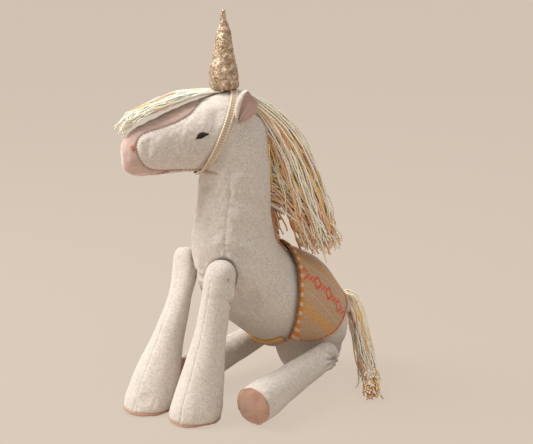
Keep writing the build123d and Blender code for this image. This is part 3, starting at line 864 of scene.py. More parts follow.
EYE_S, EYE_Z, EYE_STITCHES, EYE_LEAN = 41, 3.9, 26, 0.6
# Upper and lower edge of the eye's embroidery, ahead of its middle and over it.
EYE_TOP = [(-6.4, 0.9), (-4.6, 1.5), (-2.4, 2.9), (0, 3.3), (2.4, 2.8), (4.2, 0.6), (5.2, -2.2)]
EYE_LOW = [(-6.4, 0.4), (-4.6, 0.0), (-2.4, -1.6), (0, -2.9), (2.4, -2.9), (4.2, -3.0),
           (5.2, -3.4)]


def make_eye(side, word):
    soup = Soup()
    out = LEFTWARD * side
    for i in range(EYE_STITCHES):
        ahead = -6 + 11 * i / (EYE_STITCHES - 1)
        low, high = (np.interp(ahead, *zip(*edge)) + rng.uniform(-0.2, 0.2)
                     for edge in (EYE_LOW, EYE_TOP))
        stitch(soup, on_head(EYE_S + ahead + EYE_LEAN, EYE_Z + low),
               on_head(EYE_S + ahead - EYE_LEAN, EYE_Z + high), out, 0.42, 0.75)
    for j in range(3):
        stitch(soup, on_head(EYE_S - 2.5, EYE_Z + 2.3 - 0.5 * j),
               on_head(EYE_S - 7.2 + 0.4 * j, EYE_Z + 1.5 - 0.5 * j), out, 0.4, 0.8)
    place_piece(soup.build(f"eye_{word}_embroidery", [black_thread]), "torso", "black_thread",
                f"eye_{word}")


NOSTRIL_S, NOSTRIL_Z = 98, -7.5


def make_nostril(side, word):
    soup = Soup()
    out = (LEFTWARD * side * 0.9 + FORWARD * 0.45).normalized()
    for i in range(8):
        shift = -1.8 + 3.6 * i / 7
        reach = 3.3 - abs(shift) * 0.7
        stitch(soup, on_head(NOSTRIL_S + reach, NOSTRIL_Z + 1.4 + shift * 0.9),
               on_head(NOSTRIL_S - reach, NOSTRIL_Z - 0.6 + shift * 0.9), out, 0.45, 1.1,
               slot=1 if i in (0, 7) else 0)
    place_piece(soup.build(f"nostril_{word}_stitch", [rose_thread, ochre_thread]), "torso",
                "pink_thread", f"nostril_{word}")


MOUTH_S, MOUTH_Z = 76, -28.6
MOUTH_THREADS = (0, 1, 2, 0, 2, 1, 0)


def make_mouth():
    soup = Soup()
    for side, _ in SIDES:
        out = (LEFTWARD * side - UP * 0.5).normalized()
        for i, thread in enumerate(MOUTH_THREADS):
            ahead = MOUTH_S + 4.2 - 1.5 * i
            foot = MOUTH_Z - 1.4 + 0.32 * i
            stitch(soup, on_head(ahead + 1.3, foot - 0.6), on_head(ahead - 1.3, foot + 2.5),
                   out, 0.42, 0.9, slot=thread)
    place_piece(soup.build("mouth_embroidery", [ochre_thread, pale_thread, rose_thread]),
                "torso", "pink_thread", "mouth_stitches")


SEAM_PITCH = 2.6


def make_face_stitches():
    """Hand stitches across the seam between each cheek and the pink gusset."""
    soup = Soup()
    line = rounded_line(CHEEK, 12)
    for side, _ in SIDES:
        since = 0.0
        for a, b in zip(line[:-1], line[1:]):
            since += np.hypot(*(b - a))
            if since < SEAM_PITCH:
                continue
            since = 0.0
            run = (b - a) / np.hypot(*(b - a))
            over = np.array((-run[1], run[0]))
            stitch(soup, on_head(*(a - over * 0.9 - run * 0.5)),
                   on_head(*(a + over * 0.9 + run * 0.5)), LEFTWARD * side, 0.24, 0.45)
    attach(soup.build("face_seam_stitches", [seam_thread]), "torso")


for side, word in SIDES:
    make_eye(side, word)
    make_nostril(side, word)
make_mouth()
make_face_stitches()


# ----------------------------------------------------------------- horn
def gilt_material():
    """Crinkled cloth with a metal foil on it, its colour painted darker in the creases and
    lighter on the ridges: painted shade and painted highlights.
    """
    tree = Material("gilt_cloth", 0.36, 0.5, Metallic=0.6)
    crease = tree.noise(tree.place(), 300, 4, 0.7, 0.8)
    fine = tree.noise(tree.place(), 1400, 3, 0.65)
    patch = tree.noise(tree.place((1, 1, 0.6)), 150, 3, 0.6)
    # Painted shade in the creases and painted highlights on the ridges, from the crease noise
    # that also raises the bump.
    gold = tree.ramp(crease, (0.36, srgb(122, 96, 74)), (0.48, srgb(168, 142, 116)),
                     (0.6, srgb(234, 214, 188)))
    # Painted light and shade of the fine crinkles, from the noise that also bumps them; it
    # takes over in patches.
    fine_crinkle_shading = tree.ramp(fine, (0.4, srgb(134, 108, 84)), (0.6, srgb(216, 194, 166)))
    gold = tree.mix(tree.times(patch, 0.6), gold, fine_crinkle_shading)
    tree.put(tree.shader, {"Roughness": tree.scaled(fine, 0.35, 0.2)})
    return tree.finish(gold, tree.scaled(fine, 0.4, crease), 0.9, 1.1)


def make_horn():
    horn = remeshed("horn", ["horn_cover", "horn_stuffing"], 1.1, 0.2)
    subdivide(horn)
    co = coords(horn.data)
    low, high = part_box("horn_cover")
    from_axis = co[:, :2] - np.array([(low.x + high.x) / 2, (low.y + high.y) / 2])
    level = (co[:, 2] - low.z) / (high.z - low.z)
    fold = np.array([noise.noise(Vector((x * 190, y * 190, z * 120))) for x, y, z in co])
    crinkle = np.array([noise.turbulence(Vector(p) * 420, 3, False) for p in co])
    past_seam = np.arctan2(from_axis[:, 1], from_axis[:, 0]) - (2.4 + 0.25 * level)
    across = np.angle(np.exp(1j * past_seam)) * np.linalg.norm(from_axis, axis=1) / MM
    seam = 0.8 * bell(across, 0.8) * (1 + 0.5 * np.sin(co[:, 2] / MM * 2.6))
    flare = 2.4 * bell(level, 0.07) + 1.2 * bell(level - 0.5, 0.2)
    press(horn.data, co, -(1.2 * fold + 0.4 * (crinkle - 0.5) - seam + flare))
    paint(horn, [gilt_material()])
    place_piece(horn, "horn", "gilt_cloth", "horn_cover", "horn_stuffing")


make_horn()

# ----------------------------------------------------------------- ears
EAR_S, EAR_SIDE, EAR_Z, EAR_LEAN, EAR_H = 5, 28.4, 14.5, radians(17), 33
# Half width of the ear from its root to its tip.
EAR_WIDE = [(0, 1.6), (0.06, 3.6), (0.14, 6.6), (0.3, 9.2), (0.5, 10.6), (0.7, 11.2),
            (0.84, 10.2), (0.93, 7.4), (1, 3.0)]
EAR_FULL = 11.2
# Section where the ear is widest, from its front rim to its rear edge: millimetres behind
# its middle and out from the head. The front turns over and shows its linen back.
EAR_CUT = [(-4.6, 6.6), (-6.8, 6.6), (-8.6, 4.6), (-8.0, 1.8), (-5.2, 0.0), (-0.5, -0.4),
           (4.4, 0.4), (9.0, 1.8), (13.6, 4.8)]
EAR_LINE = rounded_line(EAR_CUT, 8)
EAR_ROWS, EAR_COLUMNS = 30, 40
# Name, inset and thickness in millimetres, material, slot, node, and the part across the ear.
EAR_LAYERS = [("ear_back", 0.0, 1.0, linen, "linen", "ear", -1.0, 1.0),
              ("ear_inside", 1.0, 0.7, pink_cotton, "pink_cotton", "ear_lining", -0.93, 0.97)]


def ear_section(across):
    """Point of the section at across from -1 to 1, and the way to the ear's hollow side."""
    at = (across + 1) / 2 * (len(EAR_LINE) - 1)
    i = min(int(at), len(EAR_LINE) - 2)
    run = EAR_LINE[i + 1] - EAR_LINE[i]
    return EAR_LINE[i] + run * (at - i), np.array((-run[1], run[0])) / np.hypot(*run)


def ear_point(side, share, across, inset=0.0):
    """Point on the ear's leaf: share up it, across from -1 at its front to 1 at its back."""
    rise = UP * cos(EAR_LEAN) - FORWARD * sin(EAR_LEAN)
    back = (-FORWARD - rise * (-FORWARD).dot(rise)).normalized()
    place, inward = ear_section(across)
    narrow = np.interp(share, *zip(*EAR_WIDE)) / EAR_FULL
    behind, depth = place * (narrow, 0.35 + 0.65 * narrow) + inward * inset
    droop = 4.4 * max(0, across) * share ** 2
    tip = 1.6 * max(0, share - 0.82) / 0.18
    return on_head(EAR_S, EAR_Z, side * EAR_SIDE) + (
        rise * (share * EAR_H - droop) + back * (behind + share)
        + LEFTWARD * side * (depth + tip - 2.0 * (1 - share) ** 2)) * MM


def make_ear(side, word):
    """Linen back turned over at the front, and the pink lining folded inside it."""
    for name, inset, thick, material, slot_name, node, first, last in EAR_LAYERS:
        rows = []
        for i in range(EAR_ROWS + 1):
            share = i / EAR_ROWS
            row = []
            for j in range(EAR_COLUMNS + 1):
                across = first + (last - first) * j / EAR_COLUMNS
                pleat = 2.4 * exp(-((across - 0.28 - 0.25 * share) / 0.09) ** 2)
                pleat += 1.3 * exp(-((across - 0.66) / 0.08) ** 2)
                pleat *= smooth_step((0.85 - share) * 2)
                crumple = 1.2 * noise.noise(Vector((share * 4, across * 2.6, side * 3)))
                row.append(ear_point(side, share, across, inset + pleat + crumple * share))
            rows.append(row)
        soup = Soup()
        soup.grid(rows, lambda r, c: (c / EAR_COLUMNS, r / EAR_ROWS))
        ear = soup.build(f"{name}_{word}", [material])
        modify(ear, "SOLIDIFY", thickness=thick * MM, offset=0)
        subdivide(ear)
        place_piece(ear, "torso", slot_name, f"{node}_{word}")


for side, word in SIDES:
    make_ear(side, word)

# ================================================================= braids and straps
BAND_ACROSS, BAND_T = 13, 1.2


def braid_material(name, middle, fleck, cord, pitch):
    """Woven braid with painted shade in bands along its ribs and the slant of its edge cords: u
    runs along it in millimetres, v across it from 0 to 1.
    """
    tree = Material(name, 0.5, 0.4, Sheen_Weight=0.2)
    u, v = tree.u_and_v()
    edge = tree.maths("GREATER_THAN", tree.gap(v, 0.5), 0.27)
    turns = tree.times(u, 2 * pi / pitch)
    rib = tree.maths("SINE", turns)
    slant = tree.maths("SINE", tree.scaled(v, 26, turns))
    chance = tree.noise(tree.place((0.9, 9, 1), uv=True), 1.4, 1)
    ground = tree.mix(tree.maths("GREATER_THAN", chance, 0.56), middle, fleck)
    # Painted shade: copies of the ground and cord colours at half brightness come in with the
    # ribs and with the slant of the edge cords, the same waves that make the bump.
    ground = tree.mix(tree.scaled(rib, 0.4, 0.4), ground, shade(middle, 0.5))
    edging = tree.mix(tree.scaled(slant, 0.42, 0.36), cord, shade(cord, 0.5))
    height = tree.mix(edge, tree.scaled(rib, 0.5, 0.5), tree.scaled(slant, 0.5, 0.5))
    return tree.finish(tree.mix(edge, ground, edging), height, 0.7, 0.5)


def band_profile(v, cords):
    """How far a braid stands up at v across it, with its edge cords, in millimetres."""
    return max(high * max(0.0, 1 - ((v - middle) / wide) ** 2) ** 0.5
               for middle, wide, high in cords)


def wrapped_band(name, node, material, centre, normal, start, half_w, half_turn, steps, cords):
    """A band on the outer face of a CAD strap. Its points are found by rays that come in
    towards centre, round normal through half_turn degrees to each side of start. cords are
    middles and half widths from 0 to 1 across it, and heights in millimetres."""
    tree = ray_target(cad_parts[node])
    normal, start = normal.normalized(), start.normalized()
    across = normal.cross(start)
    rows, run, last = [], [0.0], None
    for i in range(steps + 1):
        angle = radians(-half_turn + 2 * half_turn * i / steps)
        out = start * cos(angle) + across * sin(angle)
        found = inward_hit(tree, centre, out)
        if found is None:
            continue
        top, _ = found
        if last is not None:
            run.append(run[-1] + (top - last).length / MM)
        last = top
        outer, inner = [], []
        for j in range(BAND_ACROSS):
            v = j / (BAND_ACROSS - 1)
            side = normal * (2 * v - 1) * (half_w * MM)
            hit = inward_hit(tree, centre + side, out)
            base = hit[0] if hit is not None else top + side
            outer.append(base + out * band_profile(v, cords) * MM)
            inner.append(base - out * BAND_T * MM)
        rows.append(outer + inner[::-1])

    def spot(r, c):
        v = c / (BAND_ACROSS - 1)
        return run[r], v if c < BAND_ACROSS else max(0.0, 2 - v)
    soup = Soup()
    soup.grid(rows, spot, around=True)
    return soup.build(name, [material])


HALTER_TOP, HALTER_JAW = on_head(6.5, 37), on_head(37, -36)
HALTER_HALF_W, HALTER_FOOT_Z = 3.45, 0.24
HALTER_CORDS = [(0.12, 0.13, 0.75), (0.88, 0.13, 0.75), (0.5, 0.3, 0.25)]
halter_braid = braid_material("halter_braid", srgb(214, 194, 170), srgb(226, 176, 160),
                              srgb(246, 224, 188), 2.7)
GIRTH_AT, GIRTH_TILT, GIRTH_HALF_W = Vector((0, -51, 64)) * MM, radians(52), 6.1
GIRTH_CORDS = [(0.09, 0.1, 1.9), (0.28, 0.1, 1.9), (0.72, 0.1, 1.9), (0.91, 0.1, 1.9),
               (0.5, 0.3, 1.1)]
girth_braid = braid_material("girth_braid", srgb(176, 158, 142), srgb(196, 140, 130),
                             srgb(252, 190, 84), 2.6)


def make_halter():
    up = (HALTER_TOP - HALTER_JAW).normalized()
    halter = wrapped_band("halter_braid", "halter_strap", halter_braid,
                          (HALTER_TOP + HALTER_JAW) / 2, LEFTWARD.cross(up), up,
                          HALTER_HALF_W, 175, 150, HALTER_CORDS)
    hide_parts("halter_strap")
    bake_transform(halter)


def make_girth():
    along = Vector((0, sin(GIRTH_TILT), -cos(GIRTH_TILT)))
    down = Vector((0, -cos(GIRTH_TILT), -sin(GIRTH_TILT)))
    girth = wrapped_band("girth_braid", "girth_strap", girth_braid, GIRTH_AT, along, down,
                         GIRTH_HALF_W, 150, 160, GIRTH_CORDS)
    place_piece(girth, "torso", "braid", "girth_strap")


make_halter()
make_girth()

# ================================================================= saddle
TRUNK_R, RIPPLE = 48, 0.6


def round_the_trunk(theta):
    return DORSAL * cos(theta) + LEFT * sin(theta)


def trunk_ray(tree, v, theta):
    """Point on a CAD cloth's outer face at v millimetres along the trunk, or None."""
    out = round_the_trunk(theta)
    return tree.ray_cast(TRUNK_FROM + TRUNK_WAY * v * MM + out * 0.12, -out, 0.1)[0]


def cloth_grid(node, columns, rows):
    """Grid over a cloth on the trunk: each column has one angle round it, between the
    cloth's front and rear edges there. Returns points and their (v, round) in millimetres."""
    tree = ray_target(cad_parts[node])
    spans = []
    for theta in np.radians(np.arange(-150, 150.1, 0.5)):
        hits = [v for v in np.arange(-60, 130, 0.5) if trunk_ray(tree, v, theta)]
        if hits and hits[-1] - hits[0] > 1:
            spans.append((theta, hits[0], hits[-1]))
    thetas, lows, highs = zip(*spans)
    grid, flat = [], []
    for theta in np.linspace(thetas[0] + 0.004, thetas[-1] - 0.004, columns + 1):
        low = np.interp(theta, thetas, lows) + 0.3
        high = np.interp(theta, thetas, highs) - 0.3
        along = np.linspace(low, high, rows + 1)
        points = [trunk_ray(tree, v, theta) or trunk_ray(tree, (low + high) / 2, theta)
                  for v in along]
        if None not in points:
            filled = back_filled(np.array([tuple(p) for p in points]))
            grid.append([Vector(p) for p in filled])
            flat.append([(v, theta * TRUNK_R) for v in along])
    return grid, flat


def raised(place, spot, height, ripple=RIPPLE):
    """A cloth's point moved out from the trunk, by its ruffles and by millimetres."""
    v, around = spot
    wave = ripple * noise.noise(Vector((v / 16, around / 16, 3)))
    return place + round_the_trunk(around / TRUNK_R) * (wave + height) * MM


def cloth_rings(grid, flat, top, bottom, ripple=RIPPLE, crown=0.0):
    """Closed rings of points between a cloth's outer and inner face, crowned across."""
    rings = []
    for points, spots in zip(grid, flat):
        arch = crown * (1 - np.linspace(-1, 1, len(points)) ** 2) ** 0.5
        outer = [raised(*ps, top + a, ripple) for *ps, a in zip(points, spots, arch)]
        inner = [raised(*ps, bottom, ripple) for ps in zip(points, spots)]
        rings.append(outer + inner[::-1])
    return rings


def cloth_sheet(name, material, node, columns, rows, top, thick, ripple=RIPPLE):
    """A thin closed sheet over a CAD cloth. Returns it with its grid."""
    grid, flat = cloth_grid(node, columns, rows)
    rings = cloth_rings(grid, flat, top, top - thick, ripple)
    soup, wide = Soup(), rows + 1

    def spot(r, c):
        c = c % (2 * wide)
        return flat[r][min(c, 2 * wide - 1 - c)]
    soup.grid(rings, spot, around=True)
    for r in (0, -1):
        for c in range(rows):
            corners = (c, c + 1, 2 * wide - 2 - c, 2 * wide - 1 - c)
            a, b = flat[r][c:c + 2]
            soup.face([rings[r][k] for k in corners], [a, b, b, a])
    return soup.build(name, [material]), grid, flat


def jacquard_material():
    """Taupe ground with woven rows: crosses, diamonds between small figures, crosses.
    u runs from the front edge back, v round the trunk from the back seam, in millimetres."""
    tree = Material("jacquard", 0.88, 0.15, Sheen_Weight=0.2)
    u, v = tree.u_and_v()
    from_seam = tree.maths("ABSOLUTE", v)
    down, low_down = (tree.scaled(u, slope, from_seam) for slope in (-0.19, -0.11))

    def row(middle, pitch, kind, size, thick, offset=0.0, down=down):
        """Mask of one row of figures, middle millimetres down from the back seam."""
        x = tree.maths("PINGPONG", tree.maths("ADD", u, offset + 200 * pitch), pitch / 2)
        y = tree.gap(down, middle)
        inside = tree.maths("LESS_THAN", tree.maths("MAXIMUM", x, y), size)
        off = (tree.gap(x, y) if kind == "cross"
               else tree.gap(tree.maths("ADD", x, y), size * 0.85))
        return tree.times(inside, tree.maths("LESS_THAN", off, thick))
    thread, cross_thread = (tree.noise(tree.place(scale, uv=True), 2.6, 2, 0.6)
                            for scale in ((1, 0.18, 1), (0.18, 1, 1)))
    value = tree.scaled(thread, 0.5, tree.times(cross_thread, 0.5))
    tint = tree.ramp(value, (0.36, srgb(150, 118, 90)), (0.5, srgb(186, 152, 118)),
                     (0.64, srgb(212, 182, 150)))
    ochre, coral, pale = srgb(216, 152, 52), srgb(210, 88, 62), srgb(214, 178, 150)
    figures = [
        (row(24, 9.6, "cross", 4.0, 1.15), ochre),
        (row(44, 19.2, "diamond", 6.2, 1.7), coral),
        (row(44, 19.2, "cross", 3.4, 1.1, 9.6), coral),
        (row(71.5, 9.6, "cross", 4.4, 1.2, 4.8, low_down), ochre),
    ]
    for middle in (32.5, 57):
        line = tree.maths("LESS_THAN", tree.gap(down, middle), 0.5)
        dash = tree.maths("GREATER_THAN", tree.maths("SINE", tree.times(u, 2 * pi / 3)), -0.2)
        tint = tree.mix(tree.times(tree.times(line, dash), 0.75), tint, pale)
    cover, raised_by = tree.scaled(thread, 0.35, 0.75), 0.0
    for mask, colour in figures:
        tint = tree.mix(tree.times(mask, cover), tint, colour)
        raised_by = tree.maths("MAXIMUM", raised_by, mask)
    return tree.finish(tint, tree.scaled(raised_by, 0.5, value), 0.6, 0.6)


def cord_material(name, first, second, pitch, lay=2.2, plies=2):
    """Cord or bias tape in two colours by turns, with a twist in it and painted shade in the
    twist's grooves.
    """
    tree = Material(name, 0.75, 0.25, Sheen_Weight=0.2)
    u, v = tree.u_and_v()
    turns = tree.scaled(u, 2 * pi / lay, tree.times(v, 2 * pi * plies))
    ply = tree.scaled(tree.maths("SINE", turns), 0.5, 0.5)
    block = tree.maths("SINE", tree.scaled(u, 2 * pi / pitch, tree.times(v, 0.6)))
    tint = tree.mix(tree.maths("GREATER_THAN", block, 0.2), first, second)
    # Painted shade: a darker copy of the first colour fills the grooves of the twist, where the
    # bump is low.
    tint = tree.mix(tree.scaled(ply, 0.5, 0.5), shade(first, 0.62), tint)
    return tree.finish(tint, ply, 0.7, 0.4)


def make_piping(grid, flat):
    """Cord along the saddle cloth's front edge, and round its rear edge and its ends."""
    front, rear = ([raised(g[end], f[end], -0.3) + TRUNK_WAY * along * MM
                    for g, f in zip(grid, flat)] for end, along in ((0, -0.9), (-1, 0.9)))
    soup = Soup()
    soup.tube(front, 0.8 * MM, 1, sides=8)
    soup.tube([front[0]] + rear + [front[-1]], 1.1 * MM, 0, sides=8)
    piping = soup.build("saddle_cord", [
        cord_material("piping", srgb(202, 92, 46), srgb(216, 130, 70), 7),
        cord_material("front_piping", srgb(150, 94, 42), srgb(176, 120, 62), 7)])
    place_piece(piping, "torso", "braid", "saddle_piping")
    return piping


def make_binding():
    """Crowned tape round the saddle's rim."""
    grid, flat = cloth_grid("saddle_binding", 180, 8)
    run = [0.0]
    for a, b in zip(grid, grid[1:]):
        run.append(run[-1] + (b[0] - a[0]).length / MM)
    soup = Soup()
    soup.grid(cloth_rings(grid, flat, 0.0, -1.0, crown=0.9),
              lambda r, c: (run[r], min(c, 17 - c) / 8), around=True)
    binding = soup.build("saddle_tape", [
        cord_material("binding", srgb(216, 138, 52), srgb(234, 192, 164), 9.5, 1.1, 0)])
    place_piece(binding, "torso", "braid", "saddle_binding")
    return binding


def make_ribbon():
    """The folded tag behind the saddle."""
    tag = remeshed("saddle_ribbon", ["saddle_tag"], 0.35, 0.0)
    co = back_filled(coords(tag.data))
    along, out = trunk_parts(co)
    out /= np.linalg.norm(out, axis=1, keepdims=True)
    co += out * ((1.4 + 3.2 * (along - along.min()) / np.ptp(along)) * MM)[:, None]
    put_coords(tag.data, co + 0.6 * MM * noise_at(co, 120)[:, None] * np.array(TRUNK_WAY))
    paint(tag, [cloth_material("ribbon", srgb(176, 168, 160), srgb(128, 120, 112), 0.16, 0.5)])
    place_piece(tag, "torso", "plain_lining", "saddle_tag")


jacquard = jacquard_material()
plain_weave = cloth_material("plain_lining", srgb(190, 168, 146), srgb(140, 118, 96), 0.2)
saddle, grid, flat = cloth_sheet("saddle_jacquard", jacquard, "saddle_cloth", 130, 64, 0.25,
                                 1.1)
place_piece(saddle, "torso", "jacquard", "saddle_cloth")
piping = make_piping(grid, flat)
binding = make_binding()
lining, _, _ = cloth_sheet("saddle_under", plain_weave, "saddle_lining", 60, 24, -0.05, 0.7,
                           ripple=0.0)
place_piece(lining, "torso", "plain_lining", "saddle_lining")
make_ribbon()

joint_thread = thread_material("joint_thread", srgb(190, 176, 160))


def make_joint_stitches(name, node, place, leg_pair, rays, reach, lift):
    """The joint thread's ends, sewn flat in a dimple on the outside of each leg."""
    soup = Soup()
    for leg, (side, _) in zip(leg_pair, SIDES):
        surface = ray_target(legs[leg])
        middle = Vector((place[0] * side, place[1], place[2])) * MM
        for k in range(rays):
            turn = pi * (k + 0.3) / rays
            arm = Vector((0, cos(turn), sin(turn))) * reach * MM
            stitch(soup, middle - arm, middle + arm, LEFT * side, 0.55, lift, surface=surface)
    place_piece(soup.build(name, [joint_thread]), "torso", "joint_thread", node)


make_joint_stitches("shoulder_stitches", "shoulder_thread", SHOULDER,
                    ("front_left", "front_right"), 2, 2.4, 0.5)
make_joint_stitches("hip_stitches", "hip_thread", HIP, ("hind_left", "hind_right"), 4, 3.2, 0.9)

# ================================================================= yarn
YARN_R, YARN_LAY, YARN_GAP = 0.88 * MM, 1.9, 1.0


def yarn_material(name, colour):
    """Soft two-ply yarn, with painted shade in the grooves between its plies and a painted
    highlight on their crowns: u runs along the strand in millimetres, v round it in turns.
    """
    tree = Material(name, 0.85, 0.2, Sheen_Weight=0.9, Sheen_Roughness=0.5)
    u, v = tree.u_and_v()
    turns = tree.scaled(u, 2 * pi / YARN_LAY, tree.times(v, 2 * pi * 2))
    ply = tree.scaled(tree.maths("SINE", turns), 0.5, 0.5)
    fuzz = tree.noise(tree.place(), 1800, 2, 0.6)
    # Painted shade and painted highlight: darker and lighter copies of the yarn's colour follow
    # the ply wave that also raises the bump, with fuzz mixed in.
    tint = tree.ramp(tree.scaled(fuzz, 0.35, tree.times(ply, 0.7)),
                     (0.1, shade(colour, 0.86)), (0.5, colour), (0.9, shade(colour, 1.1)))
    return tree.finish(tint, tree.scaled(fuzz, 0.3, ply), 0.6, 0.35)


YARN = {
    "cream": srgb(255, 249, 230), "ecru": srgb(255, 234, 200), "mustard": srgb(250, 204, 118),
    "rust": srgb(226, 152, 92), "coral": srgb(255, 204, 176), "mint": srgb(236, 246, 240),
    "brown": srgb(190, 138, 94),
}
yarn_materials = [yarn_material(f"yarn_{word}", colour) for word, colour in YARN.items()]
# Shares of the yarns, in their order above.
OUTER_MIX = [0.5, 0.22, 0.12, 0.03, 0.13, 0.0, 0.0]
# INNER_MIX goes on the strands nearest the neck and on the under-mane fringe: its rust and
# mustard are yarn colours, and partly painted shade where the inside of the mane lies in
# shadow.
INNER_MIX = [0.14, 0.2, 0.24, 0.28, 0.1, 0.0, 0.04]
# TAIL_MIX is darker and warmer than the mane's outside: yarn colours, and partly painted shade,
# for the tail sits in shade behind the hind leg.
TAIL_MIX = [0.22, 0.34, 0.2, 0.14, 0.08, 0.0, 0.02]
LOCK_MIX = [0.5, 0.2, 0.1, 0.02, 0.04, 0.14, 0.0]


class Bundle:
    """Flat rings that yarn runs through: place in metres, half width, half thickness in mm."""

    def __init__(self, rings):
        self.places, self.axes = [ring[0] for ring in rings], []
        last = len(rings) - 1
        for i, (_, wide, thick) in enumerate(rings):
            along = (self.places[min(i + 1, last)] - self.places[max(i - 1, 0)]).normalized()
            level = LEFTWARD if abs(along.z) < 0.9 else LEFT
            level = (level - along * level.dot(along)).normalized()
            self.axes.append((level, wide, along.cross(level), thick))

    def at(self, t, a, b):
        """Point at share t along the bundle and (a, b) across it, each from -1 to 1."""
        span = len(self.places) - 1
        t = min(max(t, 0.0), 1.0) * span
        i = min(int(t), span - 1)
        points = []
        for k in (i - 1, i, i + 1, i + 2):
            k = min(max(k, 0), span)
            level, wide, up, thick = self.axes[k]
            points.append(self.places[k] + (level * a * wide + up * b * thick) * MM)
        return curve_point(*points, t - i)


def along_line(points, share):
    """Point at a share of the way along a row of points."""
    t = min(max(share, 0.0), 1.0) * (len(points) - 1)
    i = min(int(t), len(points) - 2)
    return points[i].lerp(points[i + 1], t - i)


def keep_out(point, gap):
    """Push a point off the body if it has sunk into it or comes within gap millimetres."""
    place, normal, _, distance = body_surface.find_nearest(point)
    inside = (point - place).dot(normal) < 0
    if inside and distance < 0.04 or distance < gap * MM:
        point = place + normal * (gap * MM)
    return point


def sway(share, seed, rate):
    """A smooth random shift, different for each seed, along a strand."""
    return Vector([noise.noise(Vector((share * rate, seed, z))) for z in (0.3, 5.1, 9.7)])


def yarn_path(bundle, root, span, spot, settle, wobble, seed, steps, gap=YARN_GAP, twist=0.0):
    """One strand from its root into the bundle and down it, swaying with its neighbours and
    crimped a little on its own."""
    (start, end), (a, b) = span, spot
    path = []
    for i in range(steps + 1):
        share = i / steps
        t = start + (end - start) * share
        turn = twist * t
        across = a * cos(turn) - b * sin(turn), a * sin(turn) + b * cos(turn)
        place = bundle.at(t, *across)
        if t > 1:
            place += (bundle.at(1, *across) - bundle.at(0.97, *across)) * (t - 1) / 0.03
        wave = sway(share, seed, 3.2) + sway(share, int(seed // 9) * 3.7, 2.1) * 1.1
        place += wave * wobble * MM * (0.25 + share)
        place += sway(share, seed + 40, 11) * wobble * 0.34 * MM
        path.append(keep_out(root.lerp(place, smooth_step(share / settle)), gap))
    return path


def ring_spot(bias):
    """A random place across a bundle, nearer its outside with a larger bias."""
    angle, reach = rng.uniform(0, 2 * pi), rng.random() ** (0.5 / bias)
    return cos(angle) * reach * 0.96, sin(angle) * reach * 0.96


def spin(soup, path, thin, fat, mix, taper=0.9):
    """A strand of random thickness and colour along a path."""
    radius = YARN_R * rng.uniform(thin, fat)
    soup.tube(path, radius, int(np.searchsorted(np.cumsum(mix) / np.sum(mix), rng.random())),
              taper=taper)


def place_yarn(soup, name, body_name, node):
    place_piece(soup.build(name, yarn_materials), body_name, "wool_yarn", node)


# Rings of the mane's fall: behind the neck, to its left, over the head, half width, half depth.
MANE_FALL = [(13, 5, 42, 10, 6), (32, 12, 21, 15, 11), (49, 18, -13, 19, 16),
             (62, 23, -49, 21, 20), (73, 27, -81, 21, 21), (83, 28, -106, 19, 19)]
MANE_STRANDS, FRINGE_STRANDS, LOCK_STRANDS, TAIL_STRANDS = 440, 230, 96, 140
CREST = [on_head(6, 45), on_head(-9, 42), on_head(-17, 26), Vector((0, -0.061, 0.262)),
         Vector((0, -0.0595, 0.235)), Vector((0, -0.059, 0.205)), Vector((0, -0.056, 0.185))]


def crest_root(share, side=0.0):
    near = along_line(CREST, share) + Vector((side * MM, 0, 0))
    place, normal, _, _ = body_surface.find_nearest(near)
    return place - normal * 0.4 * MM, normal


def make_mane():
    fall = Bundle([(Vector((left, 0, height)) * MM + Vector((0, NECK_Y + behind * MM, HEAD_Z)),
                    wide, thick) for behind, left, height, wide, thick in MANE_FALL])
    soup = Soup()
    for k in range(MANE_STRANDS):
        share = rng.random() ** 1.35 * 0.9
        root, _ = crest_root(share, rng.uniform(-1.5, 3))
        a, b = ring_spot(1.5)
        start = max(0.0, share * 0.85 - 0.08)
        end = rng.normal(1.15, 0.06) if rng.random() > 0.08 else rng.uniform(0.72, 0.98)
        if b > 0.3:
            end -= rng.uniform(0, 0.12)
        steps = max(12, int(36 * (end - start)))
        path = yarn_path(fall, root, (start, end), (a, b), 0.24 + 0.5 * share, 6.0, k * 1.37,
                         steps)
        # Strands on the neck's side of the fall take the darker inner mix: yarn colours, and
        # partly painted shade.
        mix = INNER_MIX if b * 0.8 - a * 0.5 + rng.normal(0, 0.25) > 0.6 else OUTER_MIX
        spin(soup, path, 0.85, 1.12, mix)
    place_yarn(soup, "mane_yarn", "torso", "mane_fall")


def make_under_mane():
    soup = Soup()
    for k in range(FRINGE_STRANDS):
        share = 0.12 + 0.86 * rng.random()
        side = rng.uniform(-6, 6)
        root, normal = crest_root(share, side * 0.4)
        away = rng.uniform(1, 24)
        drop = rng.uniform(50, 90) * (1.08 - share * 0.4)
        path = []
        for i in range(13):
            f = i / 12
            lean = Vector((side * 0.9 * f, away * f ** 1.4, -drop * f ** 1.1)) * MM
            stand = 5.5 * sin(min(f * 5, 1.57)) * rng.uniform(0.96, 1.04)
            place = root + lean + normal * stand * MM
            place.x += noise.noise(Vector((f * 4, k * 0.71, 2))) * 4.0 * MM
            path.append(keep_out(place, YARN_GAP))
        # The fringe lies against the neck and takes the darker inner mix: yarn colours, and
        # partly painted shade.
        spin(soup, path, 0.85, 1.1, INNER_MIX)
    place_yarn(soup, "mane_fringe", "torso", "mane_under")


# Rings of the forelock: ahead of the neck axis, over the head, half width, half depth.
FORELOCK = [(20, 44, 7, 2), (45, 41, 12, 3.2), (68, 33.5, 15, 4), (88, 25.5, 15, 4.5),
            (104, 17.5, 13, 4.5), (115, 7.5, 10, 4)]
FORELOCK_SIDE = -4


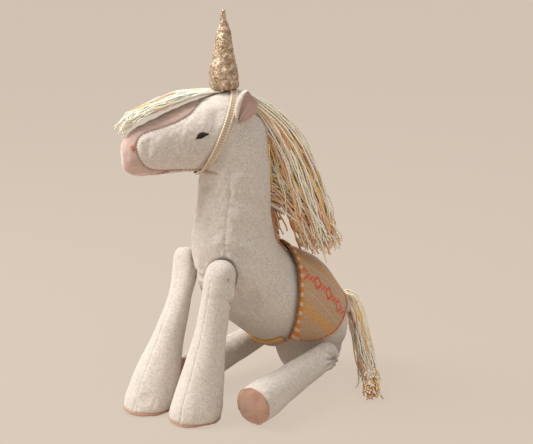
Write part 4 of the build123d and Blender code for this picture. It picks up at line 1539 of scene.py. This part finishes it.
def make_forelock():
    lock = Bundle([(on_head(ahead, height, FORELOCK_SIDE), wide, thick)
                   for ahead, height, wide, thick in FORELOCK])
    soup = Soup()
    for k in range(LOCK_STRANDS):
        a, b = ring_spot(1.1)
        root = on_head(17 + rng.uniform(-2, 2), 42.2 + b * 1.2, a * 8 - 1)
        end = min(1.0 - abs(rng.normal(0, 0.13)), 1.05)
        path = yarn_path(lock, root, (0.0, end), (a, b), 0.3, 4.2, 50 + k * 0.93, 30, 0.9)
        spin(soup, path, 0.7, 0.95, LOCK_MIX, 0.85)
    place_yarn(soup, "forelock_yarn", "torso", "forelock")


# Rings of the tail in millimetres, with shares of its radius.
TAIL = [(0, 38, 80, 0.7), (7, 50, 77, 0.75), (17, 56, 58, 0.9), (33, 50, 35, 0.9),
        (56, 36, 17, 0.88), (87, 12, 12, 1), (109, -6, 12, 1.2)]
TAIL_R, TAIL_TWIST, TAIL_GAP, TAIL_SEWN_IN = 10, 1.7, 1.2, 3
TAIL_HINGE, TAIL_AXIS = Vector(TAIL[0][:3]) * MM, Vector((-0.468, -0.884, 0))
TAIL_LIFTS = [60, 45, 30, 15]     # degrees up at which the yarn has to clear the rump


def clear_when_lifted(point):
    """Move a point of the tail so that it misses the rump however far the tail is lifted."""
    for lift in TAIL_LIFTS:
        turn = Matrix.Rotation(radians(lift), 3, TAIL_AXIS)
        lifted = keep_out(TAIL_HINGE + turn @ (point - TAIL_HINGE), TAIL_GAP)
        point = TAIL_HINGE + turn.inverted() @ (lifted - TAIL_HINGE)
    return point


def make_tail():
    tail = Bundle([(Vector(place) * MM, TAIL_R * share, TAIL_R * share)
                   for *place, share in TAIL])
    at_rump, outward, _, _ = body_surface.find_nearest(TAIL_HINGE)
    sewn_in = at_rump - outward * TAIL_SEWN_IN * MM
    floor_z = cad_box[0].z + 1.0 * MM
    soup = Soup()
    for k in range(TAIL_STRANDS):
        a, b = ring_spot(0.8)
        end = 1.06 - 0.13 * hypot(a, b) - abs(rng.normal(0, 0.05))
        end -= 0.04 * (1 + a * sin(TAIL_TWIST) + b * cos(TAIL_TWIST))
        root = sewn_in + Vector((a, 0, b)) * 1.8 * MM
        path = yarn_path(tail, root, (0.0, end), (a, b), 0.15, 5.2, 90 + k * 1.11, 36, TAIL_GAP,
                         TAIL_TWIST)
        path = [root] + [clear_when_lifted(p) for p in path[1:]]
        # The tail's strands take the darker, warmer tail mix: yarn colours, and partly painted
        # shade.
        spin(soup, [Vector((p.x, p.y, max(p.z, floor_z))) for p in path], 0.95, 1.2, TAIL_MIX)
    place_yarn(soup, "tail_strands", "tail", "tail_yarn")


make_mane()
make_under_mane()
make_forelock()
make_tail()
